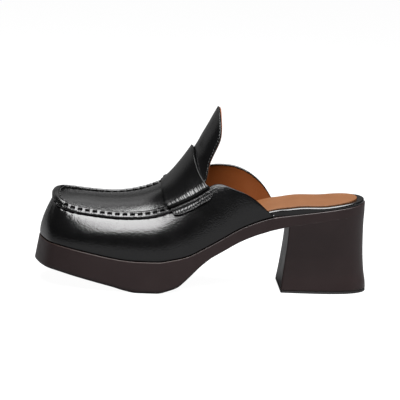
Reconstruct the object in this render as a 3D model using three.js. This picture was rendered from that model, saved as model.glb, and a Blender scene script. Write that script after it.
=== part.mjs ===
import * as THREE from 'three';

// Heeled loafer mule for the left foot, empty and standing on its sole. Lengths are in millimetres.
// X runs from the toe (minus) to the heel (plus), Y to the inner side of the foot, Z up.
// The origin is on the floor, in the middle of the footprint.

// Whole shoe and its sole
const shoeLength = 250;
const ballWidth = 95;
const heelSeatWidth = 61;
const platformHeight = 23.2; // top of the sole at the ball, above the floor
const toeRise = 9.9; // the toe end of the sole's top, above the ball
const seatHeight = 67.6; // top of the sole at the back of the heel
const shankThickness = 9.6;
const seatThickness = 7; // sole above the heel block
const toeFlare = 2.75; // how far the sole's foot stands forward of its top edge
const sideFlare = 0.9;
const soleEdgeRound = 2.4; // under the ball
const toeEdgeRound = 1;
const sharpEdge = 0.2;
const soleLedge = 0.4; // sole's top edge outside the upper

// Heel block
const heelFootWidth = 53; // its top is as wide as the heel seat

// Upper
const wallThickness = 2;
const boxHeight = 32.2; // apron seam above the sole at the toe
const wingHeight = 45; // top line above the sole at the strap
const instepHeight = 80.2; // ridge under the strap's rear edge, above the ball's sole top
const archHalfWidth = 34; // half width of the instep under the tongue
const tongueRise = 31;
const tongueRun = 16.3;
const tongueThickness = 2.2;

// Apron seam, strap, footbed
const seamWidth = 6.4;
const seamHeight = 2.3;
const seamEdgeHeight = 0.35; // of its two long edges
const strapThickness = 1.8;
const boardThickness = 4.8; // wrapped board at the heel breast
const thinBoard = 2.6; // the same board at the toe and at the back of the heel
const boardEdgeRound = 1.4;
const rimLedge = 0.9; // sole's top edge outside the board at the heel
const sockThickness = 0.8;
const sockBorder = 3.2; // board left bare beside the sock at the heel
const sockBackBorder = 5.4;

// Clearances
const gap = 0.3; // between pieces that touch
const softGap = 0.45; // between the strap and the curved leather under it
const tongueGap = 0.25; // tongue below the arch's surface
const wallClearance = 0.6; // board to the inside of the upper

const ballHalf = ballWidth / 2;
const heelHalf = heelSeatWidth / 2;
const up = new THREE.Vector3(0, 0, 1);

// Side profile of the sole. at: place along the shoe's length, from its middle. toe and seat: shares of
// the toe's rise and of the seat's rise. front: share of the platform's extra thickness over the shank.
// thin: share of the thinning above the heel block.
const soleRows = [
  { at: -0.489, toe: 1, seat: 0, front: 0.63, thin: 0 },
  { at: -0.444, toe: 0.9, seat: 0, front: 0.68, thin: 0 },
  { at: -0.373, toe: 0.62, seat: 0, front: 0.74, thin: 0 },
  { at: -0.302, toe: 0.3, seat: 0, front: 0.79, thin: 0 },
  { at: -0.267, toe: 0.16, seat: 0, front: 0.83, thin: 0 },
  { at: -0.232, toe: 0.05, seat: 0, front: 0.92, thin: 0 },
  { at: -0.193, toe: 0, seat: 0, front: 1, thin: 0 },
  { at: -0.135, toe: 0, seat: 0, front: 1, thin: 0 },
  { at: -0.092, toe: 0, seat: 0.038, front: 0.93, thin: 0 },
  { at: -0.074, toe: 0, seat: 0.056, front: 0.85, thin: 0 },
  { at: -0.057, toe: 0, seat: 0.08, front: 0.67, thin: 0 },
  { at: -0.04, toe: 0, seat: 0.11, front: 0.46, thin: 0 },
  { at: -0.022, toe: 0, seat: 0.158, front: 0.28, thin: 0 },
  { at: -0.005, toe: 0, seat: 0.21, front: 0.145, thin: 0 },
  { at: 0.03, toe: 0, seat: 0.315, front: 0, thin: 0 },
  { at: 0.065, toe: 0, seat: 0.427, front: 0, thin: 0 },
  { at: 0.1, toe: 0, seat: 0.54, front: 0, thin: 0 },
  { at: 0.136, toe: 0, seat: 0.632, front: 0, thin: 0 },
  { at: 0.172, toe: 0, seat: 0.705, front: 0, thin: 0 },
  { at: 0.206, toe: 0, seat: 0.757, front: 0, thin: 0.15 },
  { at: 0.25, toe: 0, seat: 0.8, front: 0, thin: 0.5 },
  { at: 0.314, toe: 0, seat: 0.856, front: 0, thin: 0.75 },
  { at: 0.4, toe: 0, seat: 0.93, front: 0, thin: 0.95 },
  { at: 0.486, toe: 0, seat: 1, front: 0, thin: 1 },
];

// Outline of the sole's top edge and, up to the wings' ends, the feather line of the upper. Rows run
// from the toe's middle to the back of the heel. outerAt, innerAt: place along the shoe. outer, inner:
// share of the local half width, on the outer and the inner side of the foot.
const outlineRows = [
  { outerAt: -0.489, outer: 0, innerAt: -0.489, inner: 0 },
  { outerAt: -0.48, outer: 0.3, innerAt: -0.483, inner: 0.29 },
  { outerAt: -0.461, outer: 0.6, innerAt: -0.467, inner: 0.56 },
  { outerAt: -0.438, outer: 0.755, innerAt: -0.443, inner: 0.725 },
  { outerAt: -0.397, outer: 0.868, innerAt: -0.403, inner: 0.845 },
  { outerAt: -0.337, outer: 0.945, innerAt: -0.341, inner: 0.935 },
  { outerAt: -0.265, outer: 0.985, innerAt: -0.269, inner: 0.985 },
  { outerAt: -0.197, outer: 1, innerAt: -0.203, inner: 0.998 },
  { outerAt: -0.137, outer: 0.992, innerAt: -0.141, inner: 0.95 },
  { outerAt: -0.085, outer: 0.975, innerAt: -0.087, inner: 0.885 },
  { outerAt: -0.041, outer: 0.967, innerAt: -0.042, inner: 0.84 },
  { outerAt: 0.003, outer: 0.968, innerAt: 0.003, inner: 0.825 },
  { outerAt: 0.039, outer: 0.974, innerAt: 0.04, inner: 0.83 },
  { outerAt: 0.077, outer: 0.983, innerAt: 0.079, inner: 0.86 },
  { outerAt: 0.113, outer: 0.994, innerAt: 0.117, inner: 0.91 },
  { outerAt: 0.149, outer: 0.998, innerAt: 0.155, inner: 0.96 },
  { outerAt: 0.18, outer: 0.99, innerAt: 0.189, inner: 1 },
  { outerAt: 0.204, outer: 0.982, innerAt: 0.218, inner: 1.014 },
  { outerAt: 0.255, outer: 0.978, innerAt: 0.262, inner: 1.02 },
  { outerAt: 0.311, outer: 0.978, innerAt: 0.315, inner: 1.02 },
  { outerAt: 0.359, outer: 0.955, innerAt: 0.362, inner: 1.005 },
  { outerAt: 0.403, outer: 0.885, innerAt: 0.404, inner: 0.945 },
  { outerAt: 0.44, outer: 0.74, innerAt: 0.44, inner: 0.805 },
  { outerAt: 0.466, outer: 0.515, innerAt: 0.466, inner: 0.585 },
  { outerAt: 0.4795, outer: 0.25, innerAt: 0.4795, inner: 0.32 },
  { outerAt: 0.484, outer: -0.035, innerAt: 0.484, inner: 0.035 },
];

// Top edge of the upper's wall, rib by rib: the apron seam, then the top line of each wing. at and side
// as above. box and wing: height above the sole as shares of boxHeight and wingHeight.
const topRows = {
  outer: [
    { at: -0.4465, side: 0, box: 1, wing: 0 },
    { at: -0.4435, side: 0.25, box: 0.98, wing: 0 },
    { at: -0.433, side: 0.46, box: 0.93, wing: 0 },
    { at: -0.402, side: 0.588, box: 0.868, wing: 0 },
    { at: -0.363, side: 0.635, box: 0.86, wing: 0 },
    { at: -0.313, side: 0.682, box: 0.895, wing: 0 },
    { at: -0.253, side: 0.728, box: 0.95, wing: 0 },
    { at: -0.193, side: 0.75, box: 1.01, wing: 0 },
    { at: -0.137, side: 0.754, box: 1.1, wing: 0 },
    { at: -0.085, side: 0.77, box: 1.22, wing: 0 },
    { at: -0.036, side: 0.798, box: 0, wing: 0.955 },
    { at: 0.01, side: 0.838, box: 0, wing: 0.995 },
    { at: 0.045, side: 0.887, box: 0, wing: 0.925 },
    { at: 0.081, side: 0.946, box: 0, wing: 0.74 },
    { at: 0.117, side: 0.995, box: 0, wing: 0.56 },
    { at: 0.152, side: 1.015, box: 0, wing: 0.36 },
    { at: 0.182, side: 1.01, box: 0, wing: 0.16 },
    { at: 0.203, side: 0.985, box: 0, wing: 0.035 },
  ],
  inner: [
    { at: -0.4465, side: 0, box: 1, wing: 0 },
    { at: -0.4435, side: 0.265, box: 1.005, wing: 0 },
    { at: -0.43, side: 0.45, box: 1.02, wing: 0 },
    { at: -0.401, side: 0.53, box: 1.035, wing: 0 },
    { at: -0.365, side: 0.577, box: 1.045, wing: 0 },
    { at: -0.315, side: 0.628, box: 1.075, wing: 0 },
    { at: -0.255, side: 0.672, box: 1.14, wing: 0 },
    { at: -0.196, side: 0.695, box: 1.25, wing: 0 },
    { at: -0.14, side: 0.705, box: 1.39, wing: 0 },
    { at: -0.088, side: 0.724, box: 1.52, wing: 0 },
    { at: -0.037, side: 0.753, box: 0, wing: 1.14 },
    { at: 0.012, side: 0.798, box: 0, wing: 1.13 },
    { at: 0.045, side: 0.845, box: 0, wing: 1.06 },
    { at: 0.083, side: 0.9, box: 0, wing: 0.925 },
    { at: 0.121, side: 0.965, box: 0, wing: 0.755 },
    { at: 0.158, side: 1.01, box: 0, wing: 0.55 },
    { at: 0.191, side: 1.022, box: 0, wing: 0.31 },
    { at: 0.217, side: 1.016, box: 0, wing: 0.05 },
  ],
};

// How each rib of the wall curves. bulge, shoulder and fall are shares of the ball's half width: how far
// the wall swells low down, rounds over at its top, and drops there. lift: where it swells, of its height.
const wallRows = [
  { bulge: 0.012, lift: 0.36, shoulder: 0.08, fall: 0.165 },
  { bulge: 0.014, lift: 0.36, shoulder: 0.09, fall: 0.16 },
  { bulge: 0.018, lift: 0.36, shoulder: 0.115, fall: 0.145 },
  { bulge: 0.022, lift: 0.35, shoulder: 0.16, fall: 0.12 },
  { bulge: 0.03, lift: 0.37, shoulder: 0.195, fall: 0.105 },
  { bulge: 0.04, lift: 0.39, shoulder: 0.21, fall: 0.1 },
  { bulge: 0.045, lift: 0.4, shoulder: 0.21, fall: 0.1 },
  { bulge: 0.05, lift: 0.4, shoulder: 0.195, fall: 0.11 },
  { bulge: 0.05, lift: 0.4, shoulder: 0.165, fall: 0.15 },
  { bulge: 0.05, lift: 0.38, shoulder: 0.13, fall: 0.2 },
  { bulge: 0.05, lift: 0.36, shoulder: 0.09, fall: 0.25 },
  { bulge: 0.05, lift: 0.34, shoulder: 0.055, fall: 0.27 },
  { bulge: 0.045, lift: 0.34, shoulder: 0.035, fall: 0.25 },
  { bulge: 0.04, lift: 0.34, shoulder: 0.028, fall: 0.2 },
  { bulge: 0.032, lift: 0.34, shoulder: 0.02, fall: 0.15 },
  { bulge: 0.022, lift: 0.34, shoulder: 0.014, fall: 0.1 },
  { bulge: 0.01, lift: 0.34, shoulder: 0.006, fall: 0.045 },
  { bulge: 0, lift: 0.34, shoulder: 0, fall: 0.009 },
];

// Ridge of the apron, instep and tongue. at: place along the shoe. instep: share of instepHeight.
// tongue, lean: shares of the tongue's rise and run past the strap. flat: how level the arch leaves its edge.
const ridgeRows = [
  { at: -0.361, instep: 0.518, tongue: 0, lean: 0, flat: 0.5 },
  { at: -0.358, instep: 0.517, tongue: 0, lean: 0, flat: 0.5 },
  { at: -0.349, instep: 0.515, tongue: 0, lean: 0, flat: 0.5 },
  { at: -0.335, instep: 0.512, tongue: 0, lean: 0, flat: 0.5 },
  { at: -0.313, instep: 0.508, tongue: 0, lean: 0, flat: 0.5 },
  { at: -0.281, instep: 0.508, tongue: 0, lean: 0, flat: 0.5 },
  { at: -0.239, instep: 0.518, tongue: 0, lean: 0, flat: 0.5 },
  { at: -0.197, instep: 0.538, tongue: 0, lean: 0, flat: 0.46 },
  { at: -0.159, instep: 0.58, tongue: 0, lean: 0, flat: 0.38 },
  { at: -0.1215, instep: 0.657, tongue: 0, lean: 0, flat: 0.28 },
  { at: -0.0805, instep: 0.804, tongue: 0, lean: 0, flat: 0.18 },
  { at: -0.0376, instep: 1, tongue: 0, lean: 0, flat: 0.12 },
  { at: -0.0376, instep: 1, tongue: 0.28, lean: 0.285, flat: 0.1 },
  { at: -0.0376, instep: 1, tongue: 0.545, lean: 0.555, flat: 0.1 },
  { at: -0.0376, instep: 1, tongue: 0.785, lean: 0.785, flat: 0.1 },
  { at: -0.0376, instep: 1, tongue: 1, lean: 1, flat: 0.1 },
];

// Edges of the instep's arch past the strap, measured from the ridge in shares of archHalfWidth.
const tongueEdgeRows = {
  outer: [
    { back: 0.32, side: 0.96, drop: 0.65 },
    { back: 0.3, side: 0.93, drop: 0.58 },
    { back: 0.29, side: 0.88, drop: 0.47 },
    { back: 0.27, side: 0.82, drop: 0.39 },
  ],
  inner: [
    { back: 0.3, side: 0.94, drop: 0.53 },
    { back: 0.29, side: 0.92, drop: 0.5 },
    { back: 0.29, side: 0.88, drop: 0.44 },
    { back: 0.27, side: 0.82, drop: 0.37 },
  ],
};

// Breast and back of the heel block, from its foot (0) to its top (1). breastAt and backAt: place along
// the shoe. wide: 0 is the width of the foot, 1 the width of the top.
const heelRows = [
  { height: 0, breastAt: 0.2345, backAt: 0.5, wide: 0 },
  { height: 0.1, breastAt: 0.2365, backAt: 0.498, wide: -0.12 },
  { height: 0.25, breastAt: 0.239, backAt: 0.4915, wide: -0.25 },
  { height: 0.45, breastAt: 0.2425, backAt: 0.4865, wide: -0.1 },
  { height: 0.65, breastAt: 0.246, backAt: 0.484, wide: 0.3 },
  { height: 0.85, breastAt: 0.248, backAt: 0.483, wide: 0.75 },
  { height: 1, breastAt: 0.2485, backAt: 0.484, wide: 1 },
];

// The strap, from its tab's lower edge (on the wall) over the seam and the arch to the ridge. front and
// rear: the ribs its edges reach. share: down the tab, across the seam, or up the arch.
const strapRows = [
  { over: 'wall', share: 1, front: 9.1, rear: 11.02 },
  { over: 'wall', share: 0.84, front: 8.92, rear: 11.17 },
  { over: 'wall', share: 0.55, front: 8.82, rear: 11.22 },
  { over: 'wall', share: 0.25, front: 8.76, rear: 11.16 },
  { over: 'seam', share: -1, front: 8.68, rear: 11.06 },
  { over: 'seam', share: -0.5, front: 8.6, rear: 10.98 },
  { over: 'seam', share: 0, front: 8.56, rear: 10.94 },
  { over: 'seam', share: 0.5, front: 8.54, rear: 10.92 },
  { over: 'seam', share: 1, front: 8.53, rear: 10.92 },
  { over: 'arch', share: 0.21, front: 8.54, rear: 10.93 },
  { over: 'arch', share: 0.33, front: 8.57, rear: 10.94 },
  { over: 'arch', share: 0.47, front: 8.62, rear: 10.96 },
  { over: 'arch', share: 0.63, front: 8.7, rear: 10.98 },
  { over: 'arch', share: 0.81, front: 8.79, rear: 11 },
  { over: 'arch', share: 1, front: 8.85, rear: 11 },
];

// Thickness of the footbed's board. thick: 0 is thinBoard, 1 is boardThickness.
const boardRows = [
  { at: -0.49, thick: 0 },
  { at: -0.1, thick: 0 },
  { at: 0.15, thick: 1 },
  { at: 0.27, thick: 1 },
  { at: 0.37, thick: 0 },
  { at: 0.486, thick: 0 },
];

// Sides of the tongue. trim: share of the arch cut away on each side, at a rib.
const tongueSideRows = [
  { rib: 10.06, trim: 0.05 },
  { rib: 11, trim: 0.13 },
  { rib: 12, trim: 0.235 },
  { rib: 13, trim: 0.235 },
  { rib: 14, trim: 0.225 },
  { rib: 15, trim: 0.23 },
];

// Where pieces begin, end or change, in ribs counted from the toe's middle
const ribOf = {
  toeMiddle: 0.16, // the two sides of a plank meet this far from the middle of the toe and of the heel
  toeCorner: 4, // ribs stand closer up to here
  seamEnd: 9.4,
  throat: 10, // rear edge of the apron, under the strap
  strapRear: 11,
  tongueStart: tongueSideRows[0].rib,
  tongueTip: 13.5, // the tongue's end begins to round here
  tongueEnd: ridgeRows.length - 1,
  wingEnd: wallRows.length - 1,
  breast: 17.9,
  heelSide: 18.5, // the heel block's sides begin here, past its breast's corners
  heelBack: outlineRows.length - 1,
};
const tabReach = 0.24; // how far the strap's tabs reach down the wall, as a share of a rib

const mix = (a, b, t) => a + (b - a) * t;
const clamp01 = (t) => Math.min(1, Math.max(0, t));
const ease = (t) => clamp01(t) ** 2 * (3 - 2 * clamp01(t));
const alongShoe = (share) => share * shoeLength;

// Half width of the foot at a place along the shoe: the ball's in front, the heel seat's behind.
function localHalf(at) {
  const waistStart = -0.14;
  const waistEnd = 0.2;
  return mix(ballHalf, heelHalf, ease((at - waistStart) / (waistEnd - waistStart)));
}

// Smooth curve through values at 0, 1, 2 ... with an even second derivative.
function smoothCurve(values) {
  const n = values.length;
  const bend = new Array(n).fill(0);
  const weight = new Array(n).fill(0);
  for (let i = 1; i < n - 1; i++) {
    const pull = 6 * (values[i + 1] - 2 * values[i] + values[i - 1]);
    const base = 4 - weight[i - 1];
    weight[i] = 1 / base;
    bend[i] = (pull - bend[i - 1]) / base;
  }
  for (let i = n - 2; i > 0; i--) bend[i] -= weight[i] * bend[i + 1];
  return (t) => {
    const i = Math.min(n - 2, Math.max(0, Math.floor(t)));
    const b = t - i;
    const a = 1 - b;
    return a * values[i] + b * values[i + 1] + ((a ** 3 - a) * bend[i] + (b ** 3 - b) * bend[i + 1]) / 6;
  };
}

// Curve through points (x, y) that never overshoots them, so that level stretches stay level.
function steadyCurve(xs, ys) {
  const n = xs.length;
  const slope = xs.slice(1).map((x, i) => (ys[i + 1] - ys[i]) / (x - xs[i]));
  const tangent = ys.map((_, i) => {
    if (i === 0) return slope[0];
    if (i === n - 1) return slope[n - 2];
    return slope[i - 1] * slope[i] <= 0 ? 0 : (2 * slope[i - 1] * slope[i]) / (slope[i - 1] + slope[i]);
  });
  return (x) => {
    let i = 0;
    while (i < n - 2 && x > xs[i + 1]) i++;
    const step = xs[i + 1] - xs[i];
    const t = clamp01((x - xs[i]) / step);
    const rise = ys[i + 1] - ys[i];
    const start = tangent[i] * step;
    const end = tangent[i + 1] * step;
    return ys[i] + t * (start + t * (3 * rise - 2 * start - end + t * (start + end - 2 * rise)));
  };
}

function bezier(p0, p1, p2, p3, t) {
  const s = 1 - t;
  return new THREE.Vector3()
    .addScaledVector(p0, s * s * s)
    .addScaledVector(p1, 3 * s * s * t)
    .addScaledVector(p2, 3 * s * t * t)
    .addScaledVector(p3, t * t * t);
}

const profileAt = soleRows.map((row) => alongShoe(row.at));
const soleTop = steadyCurve(
  profileAt,
  soleRows.map((row) => platformHeight + row.toe * toeRise + row.seat * (seatHeight - platformHeight)),
);
const soleThickness = steadyCurve(
  profileAt,
  soleRows.map(
    (row) =>
      shankThickness +
      row.front * (platformHeight - shankThickness) -
      row.thin * (shankThickness - seatThickness),
  ),
);
const soleBottom = (x) => soleTop(x) - soleThickness(x);

// A curve over both sides of the shoe: u runs from minus the last rib (outer side) through the toe at 0
// to plus the last rib (inner side).
function bothSides(outer, inner) {
  const last = outer.length - 1;
  const values = [...outer.slice(1).reverse(), ...inner];
  const curve = smoothCurve(values);
  return (u) => curve(u + last);
}

const outlineX = bothSides(
  outlineRows.map((row) => alongShoe(row.outerAt)),
  outlineRows.map((row) => alongShoe(row.innerAt)),
);
const outlineY = bothSides(
  outlineRows.map((row) => -row.outer * localHalf(row.outerAt)),
  outlineRows.map((row) => row.inner * localHalf(row.innerAt)),
);

// Outline point in plan, moved outwards by "out" millimetres.
function outline(u, out = 0) {
  const step = 0.01;
  const tangent = new THREE.Vector3(
    outlineX(u + step) - outlineX(u - step),
    outlineY(u + step) - outlineY(u - step),
    0,
  );
  if (Math.abs(u) > ribOf.heelBack - step) tangent.set(0, -Math.sign(u), 0);
  const outwards = new THREE.Vector3().crossVectors(up, tangent).normalize();
  return new THREE.Vector3(outlineX(u), outlineY(u), 0).addScaledVector(outwards, out);
}

const topX = bothSides(
  topRows.outer.map((row) => alongShoe(row.at)),
  topRows.inner.map((row) => alongShoe(row.at)),
);
const topY = bothSides(
  topRows.outer.map((row) => -row.side * localHalf(row.at)),
  topRows.inner.map((row) => row.side * localHalf(row.at)),
);
const topHeight = (row) => soleTop(alongShoe(row.at)) + row.box * boxHeight + row.wing * wingHeight;
const topZ = bothSides(topRows.outer.map(topHeight), topRows.inner.map(topHeight));
const topEdge = (u) => new THREE.Vector3(topX(u), topY(u), topZ(u));

function feather(u) {
  const point = outline(u, -soleLedge);
  point.z = soleTop(point.x) + gap;
  return point;
}

const wallCurve = {};
for (const name of ['bulge', 'lift', 'shoulder', 'fall']) {
  wallCurve[name] = smoothCurve(wallRows.map((row) => row[name]));
}

function outwardsAt(curve, u) {
  const step = 0.02;
  const along = curve(u + step).sub(curve(u - step));
  return new THREE.Vector3().crossVectors(up, along).setZ(0).normalize();
}

// The four points that bend one rib of the wall, from the feather line to the top edge.
function wallRib(u) {
  const rib = Math.abs(u);
  const foot = feather(u);
  const head = topEdge(u);
  const height = head.z - foot.z;
  const low = foot
    .clone()
    .addScaledVector(up, wallCurve.lift(rib) * height)
    .addScaledVector(outwardsAt(feather, u), wallCurve.bulge(rib) * ballHalf);
  const high = head
    .clone()
    .addScaledVector(up, -wallCurve.fall(rib) * ballHalf)
    .addScaledVector(outwardsAt(topEdge, u), wallCurve.shoulder(rib) * ballHalf);
  return [foot, low, high, head];
}

const wallPoint = (u, v) => bezier(...wallRib(u), v);

const ridgeX = smoothCurve(ridgeRows.map((row) => alongShoe(row.at) + row.lean * tongueRun));
const ridgeZ = smoothCurve(
  ridgeRows.map((row) => platformHeight + row.instep * instepHeight + row.tongue * tongueRise),
);
const ridge = (rib) => new THREE.Vector3(ridgeX(rib), 0, ridgeZ(rib));
const archFlat = smoothCurve(ridgeRows.map((row) => row.flat));

// Edge of the arch: the upper's top edge as far as the strap, then the tongue's own edge rows.
function archEdgeValues(side, sign) {
  const shared = topRows[side].slice(0, ribOf.strapRear + 1).map((row) => [
    alongShoe(row.at),
    sign * row.side * localHalf(row.at),
    topHeight(row),
  ]);
  const past = tongueEdgeRows[side].map((row, i) => {
    const crest = ridge(ribOf.strapRear + 1 + i);
    return [
      crest.x + row.back * archHalfWidth,
      sign * row.side * archHalfWidth,
      crest.z - row.drop * archHalfWidth,
    ];
  });
  return [...shared, ...past];
}
const archOuter = archEdgeValues('outer', -1);
const archInner = archEdgeValues('inner', 1);
const archEdgeCurves = [0, 1, 2].map((axis) =>
  bothSides(archOuter.map((point) => point[axis]), archInner.map((point) => point[axis])),
);
const archEdge = (u) => new THREE.Vector3(...archEdgeCurves.map((curve) => curve(u)));

// The four points that bend one rib of the arch, from its edge to the ridge.
function archRib(u) {
  const rib = Math.abs(u);
  const step = 0.02;
  const roundness = 0.55;
  const edge = archEdge(u);
  const crest = ridge(rib);
  const along = ridge(Math.min(ribOf.tongueEnd, rib + step)).sub(ridge(Math.max(0, rib - step))).normalize();
  const span = crest.clone().sub(edge);
  const level = along.clone().multiplyScalar(span.dot(along)).add(new THREE.Vector3(0, span.y, 0));
  const rise = span.clone().sub(level);
  const low = edge
    .clone()
    .addScaledVector(rise, roundness)
    .addScaledVector(level, roundness * archFlat(rib));
  const high = crest.clone().add(new THREE.Vector3(0, -roundness * span.y, 0));
  return [edge, low, high, crest];
}

const archPoint = (u, w) => bezier(...archRib(u), w);
const archShares = [0, 0.1, 0.21, 0.33, 0.47, 0.63, 0.81, 1];

// A sheet of welded points and triangles. Each point has the two offsets, along the sheet's normal, at
// which the finished solid's inside and outside lie.
class Sheet {
  constructor() {
    this.points = [];
    this.inside = [];
    this.outside = [];
    this.level = [];
    this.triangles = [];
    this.known = new Map();
  }

  vertex({ point, inside, outside, level = false }) {
    const key = point.toArray().map((value) => Math.round(value * 200)).join();
    if (!this.known.has(key)) {
      this.known.set(key, this.points.length);
      this.points.push(point);
      this.inside.push(inside);
      this.outside.push(outside);
      this.level.push(level);
    }
    return this.known.get(key);
  }

  triangle(a, b, c) {
    if (a !== b && b !== c && c !== a) this.triangles.push([a, b, c]);
  }

  // rows[i][j] are vertices; faces look towards the side from which i then j turns clockwise.
  grid(rows) {
    const index = rows.map((row) => row.map((entry) => this.vertex(entry)));
    for (let i = 0; i + 1 < index.length; i++) {
      for (let j = 0; j + 1 < index[i].length; j++) {
        this.triangle(index[i][j], index[i + 1][j + 1], index[i + 1][j]);
        this.triangle(index[i][j], index[i][j + 1], index[i + 1][j + 1]);
      }
    }
  }

  normals() {
    const normals = this.points.map(() => new THREE.Vector3());
    for (const [a, b, c] of this.triangles) {
      const first = this.points[b].clone().sub(this.points[a]);
      const second = this.points[c].clone().sub(this.points[a]);
      const face = first.cross(second);
      for (const corner of [a, b, c]) normals[corner].add(face);
    }
    normals.forEach((normal, i) => {
      if (this.level[i]) normal.setZ(0);
      normal.normalize();
    });
    return normals;
  }

  // Closed solid: the outside, the inside turned over, and a wall along every open edge.
  solid() {
    const count = this.points.length;
    const normals = this.normals();
    const shifted = (offsets) =>
      this.points.map((point, i) => point.clone().addScaledVector(normals[i], offsets[i]));
    const points = [...shifted(this.outside), ...shifted(this.inside)];
    const edges = new Set();
    for (const [a, b, c] of this.triangles) edges.add(`${a},${b}`).add(`${b},${c}`).add(`${c},${a}`);
    const triangles = [];
    for (const [a, b, c] of this.triangles) {
      triangles.push([a, b, c], [c + count, b + count, a + count]);
      for (const [from, to] of [[a, b], [b, c], [c, a]]) {
        if (edges.has(`${to},${from}`)) continue;
        triangles.push([to, from, from + count], [to, from + count, to + count]);
      }
    }
    return closedGeometry(points, triangles);
  }
}

// Geometry from points and triangles, turned so that its faces point out.
function closedGeometry(points, triangles) {
  let volume = 0;
  for (const [a, b, c] of triangles) {
    volume += points[a].dot(new THREE.Vector3().crossVectors(points[b], points[c]));
  }
  const order = volume < 0 ? triangles.map(([a, b, c]) => [c, b, a]) : triangles;
  const geometry = new THREE.BufferGeometry();
  const flat = points.flatMap((point) => point.toArray());
  geometry.setAttribute('position', new THREE.Float32BufferAttribute(flat, 3));
  geometry.setIndex(order.flat());
  geometry.computeVertexNormals();
  return geometry;
}

// Solid through equal closed loops, with its two ends closed between opposite points of the loop.
function loftLoops(loops) {
  const size = loops[0].length;
  const points = loops.flat();
  const triangles = [];
  const quad = (a, b, c, d) => triangles.push([a, b, c], [a, c, d]);
  for (let i = 0; i + 1 < loops.length; i++) {
    for (let j = 0; j < size; j++) {
      const next = (j + 1) % size;
      quad(i * size + j, i * size + next, (i + 1) * size + next, (i + 1) * size + j);
    }
  }
  const last = (loops.length - 1) * size;
  for (let j = 0; j < size / 2 - 1; j++) {
    quad(size - 1 - j, size - 2 - j, j + 1, j);
    quad(last + j, last + j + 1, last + size - 2 - j, last + size - 1 - j);
  }
  return closedGeometry(points, triangles);
}

const steps = (from, to, count) =>
  Array.from({ length: count + 1 }, (_, i) => from + ((to - from) * i) / count);

// Places round a flat piece that starts at a rib: along its outer side to the heel, and back on the inner.
function around(start, next) {
  const halfRibs = steps(next, ribOf.heelBack - 0.5, 2 * (ribOf.heelBack - next) - 1);
  const ribs = [start, ...halfRibs, ribOf.heelBack - ribOf.toeMiddle];
  return [...ribs.map((rib) => -rib), ...ribs.reverse()];
}
const soleAround = around(ribOf.toeMiddle, 0.5);

// Places from one side's last rib through the toe to the other's, closer together round the toe.
function denseAtToe(lastRib, countPerSide) {
  return [
    ...steps(-lastRib, -ribOf.toeCorner, countPerSide),
    ...steps(-ribOf.toeCorner, ribOf.toeCorner, 24).slice(1, -1),
    ...steps(ribOf.toeCorner, lastRib, countPerSide),
  ];
}

// A flat piece under the foot. The functions give, for a rib, how far the top and the foot of its side
// stand out from the outline and how far its foot is rounded, and for an x its two heights.
function plank({ outTop, outFoot, top, bottom, topRound, footRound }) {
  const ring = (place) =>
    soleAround.map((u) => {
      const { out, height } = place(Math.abs(u));
      const point = outline(u, out);
      point.z = height(point.x);
      return point;
    });
  return loftLoops([
    ring((rib) => ({ out: outFoot(rib) - footRound(rib), height: bottom })),
    ring((rib) => ({ out: outFoot(rib), height: (x) => bottom(x) + footRound(rib) })),
    ring((rib) => ({ out: outTop(rib), height: (x) => top(x) - topRound })),
    ring((rib) => ({ out: outTop(rib) - topRound, height: top })),
  ]);
}

// A value at the toe that gives way to another along the sides, and to a third under the waist.
function toeSideWaist(toe, side, waist) {
  return (rib) => mix(mix(toe, side, ease((rib - 1) / 3)), waist, ease((rib - 9) / 3));
}

function outsoleGeometry() {
  return plank({
    outTop: () => 0,
    outFoot: toeSideWaist(toeFlare, sideFlare, 0),
    top: soleTop,
    bottom: soleBottom,
    topRound: sharpEdge,
    footRound: toeSideWaist(toeEdgeRound, soleEdgeRound, sharpEdge),
  });
}

// The board fits inside the upper as far as the wings' ends, then widens to the sole's edge within a rib.
const insideUpper = -(soleLedge + wallThickness + wallClearance);
const boardOut = (rib) => mix(insideUpper, -rimLedge, ease((rib - ribOf.wingEnd - 0.1) / 0.9));
const boardHeight = steadyCurve(
  boardRows.map((row) => alongShoe(row.at)),
  boardRows.map((row) => mix(thinBoard, boardThickness, row.thick)),
);
const boardTop = (x) => soleTop(x) + gap + boardHeight(x);

function footbedGeometry() {
  return plank({
    outTop: boardOut,
    outFoot: boardOut,
    top: boardTop,
    bottom: (x) => soleTop(x) + gap,
    topRound: boardEdgeRound,
    footRound: () => sharpEdge,
  });
}

function insoleGeometry() {
  const backStart = ribOf.heelBack - 5;
  const out = (rib) => {
    const border = mix(sockBorder, sockBackBorder, ease((rib - backStart) / 4));
    const bareRim = ease((rib - ribOf.wingEnd + 0.5) / 1.2);
    return boardOut(rib) - mix(boardEdgeRound + 0.1, border, bareRim);
  };
  return plank({
    outTop: out,
    outFoot: out,
    top: (x) => boardTop(x) + gap + sockThickness,
    bottom: (x) => boardTop(x) + gap,
    topRound: sharpEdge,
    footRound: () => sharpEdge,
  });
}

function heelGeometry() {
  const middle = (outline(-ribOf.breast).y + outline(ribOf.breast).y) / 2;
  const column = (name) =>
    steadyCurve(heelRows.map((row) => row.height), heelRows.map((row) => row[name]));
  const breastAt = column('breastAt');
  const backAt = column('backAt');
  const wide = column('wide');
  const topBreast = alongShoe(breastAt(1));
  const topBack = outlineX(ribOf.heelBack);
  const levels = [0, 0.03, 0.1, 0.2, 0.32, 0.45, 0.6, 0.75, 0.88, 1];
  const loops = levels.map((height) => {
    const breast = alongShoe(breastAt(height));
    const back = alongShoe(backAt(height));
    const width = mix(heelFootWidth, heelSeatWidth, wide(height)) / heelSeatWidth;
    return around(ribOf.breast, ribOf.heelSide).map((u) => {
      const rim = outline(u);
      const share = clamp01((rim.x - topBreast) / (topBack - topBreast));
      const x = mix(breast, back, share);
      return new THREE.Vector3(x, middle + (rim.y - middle) * width, height * (soleBottom(x) - gap));
    });
  });
  return loftLoops(loops);
}

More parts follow.
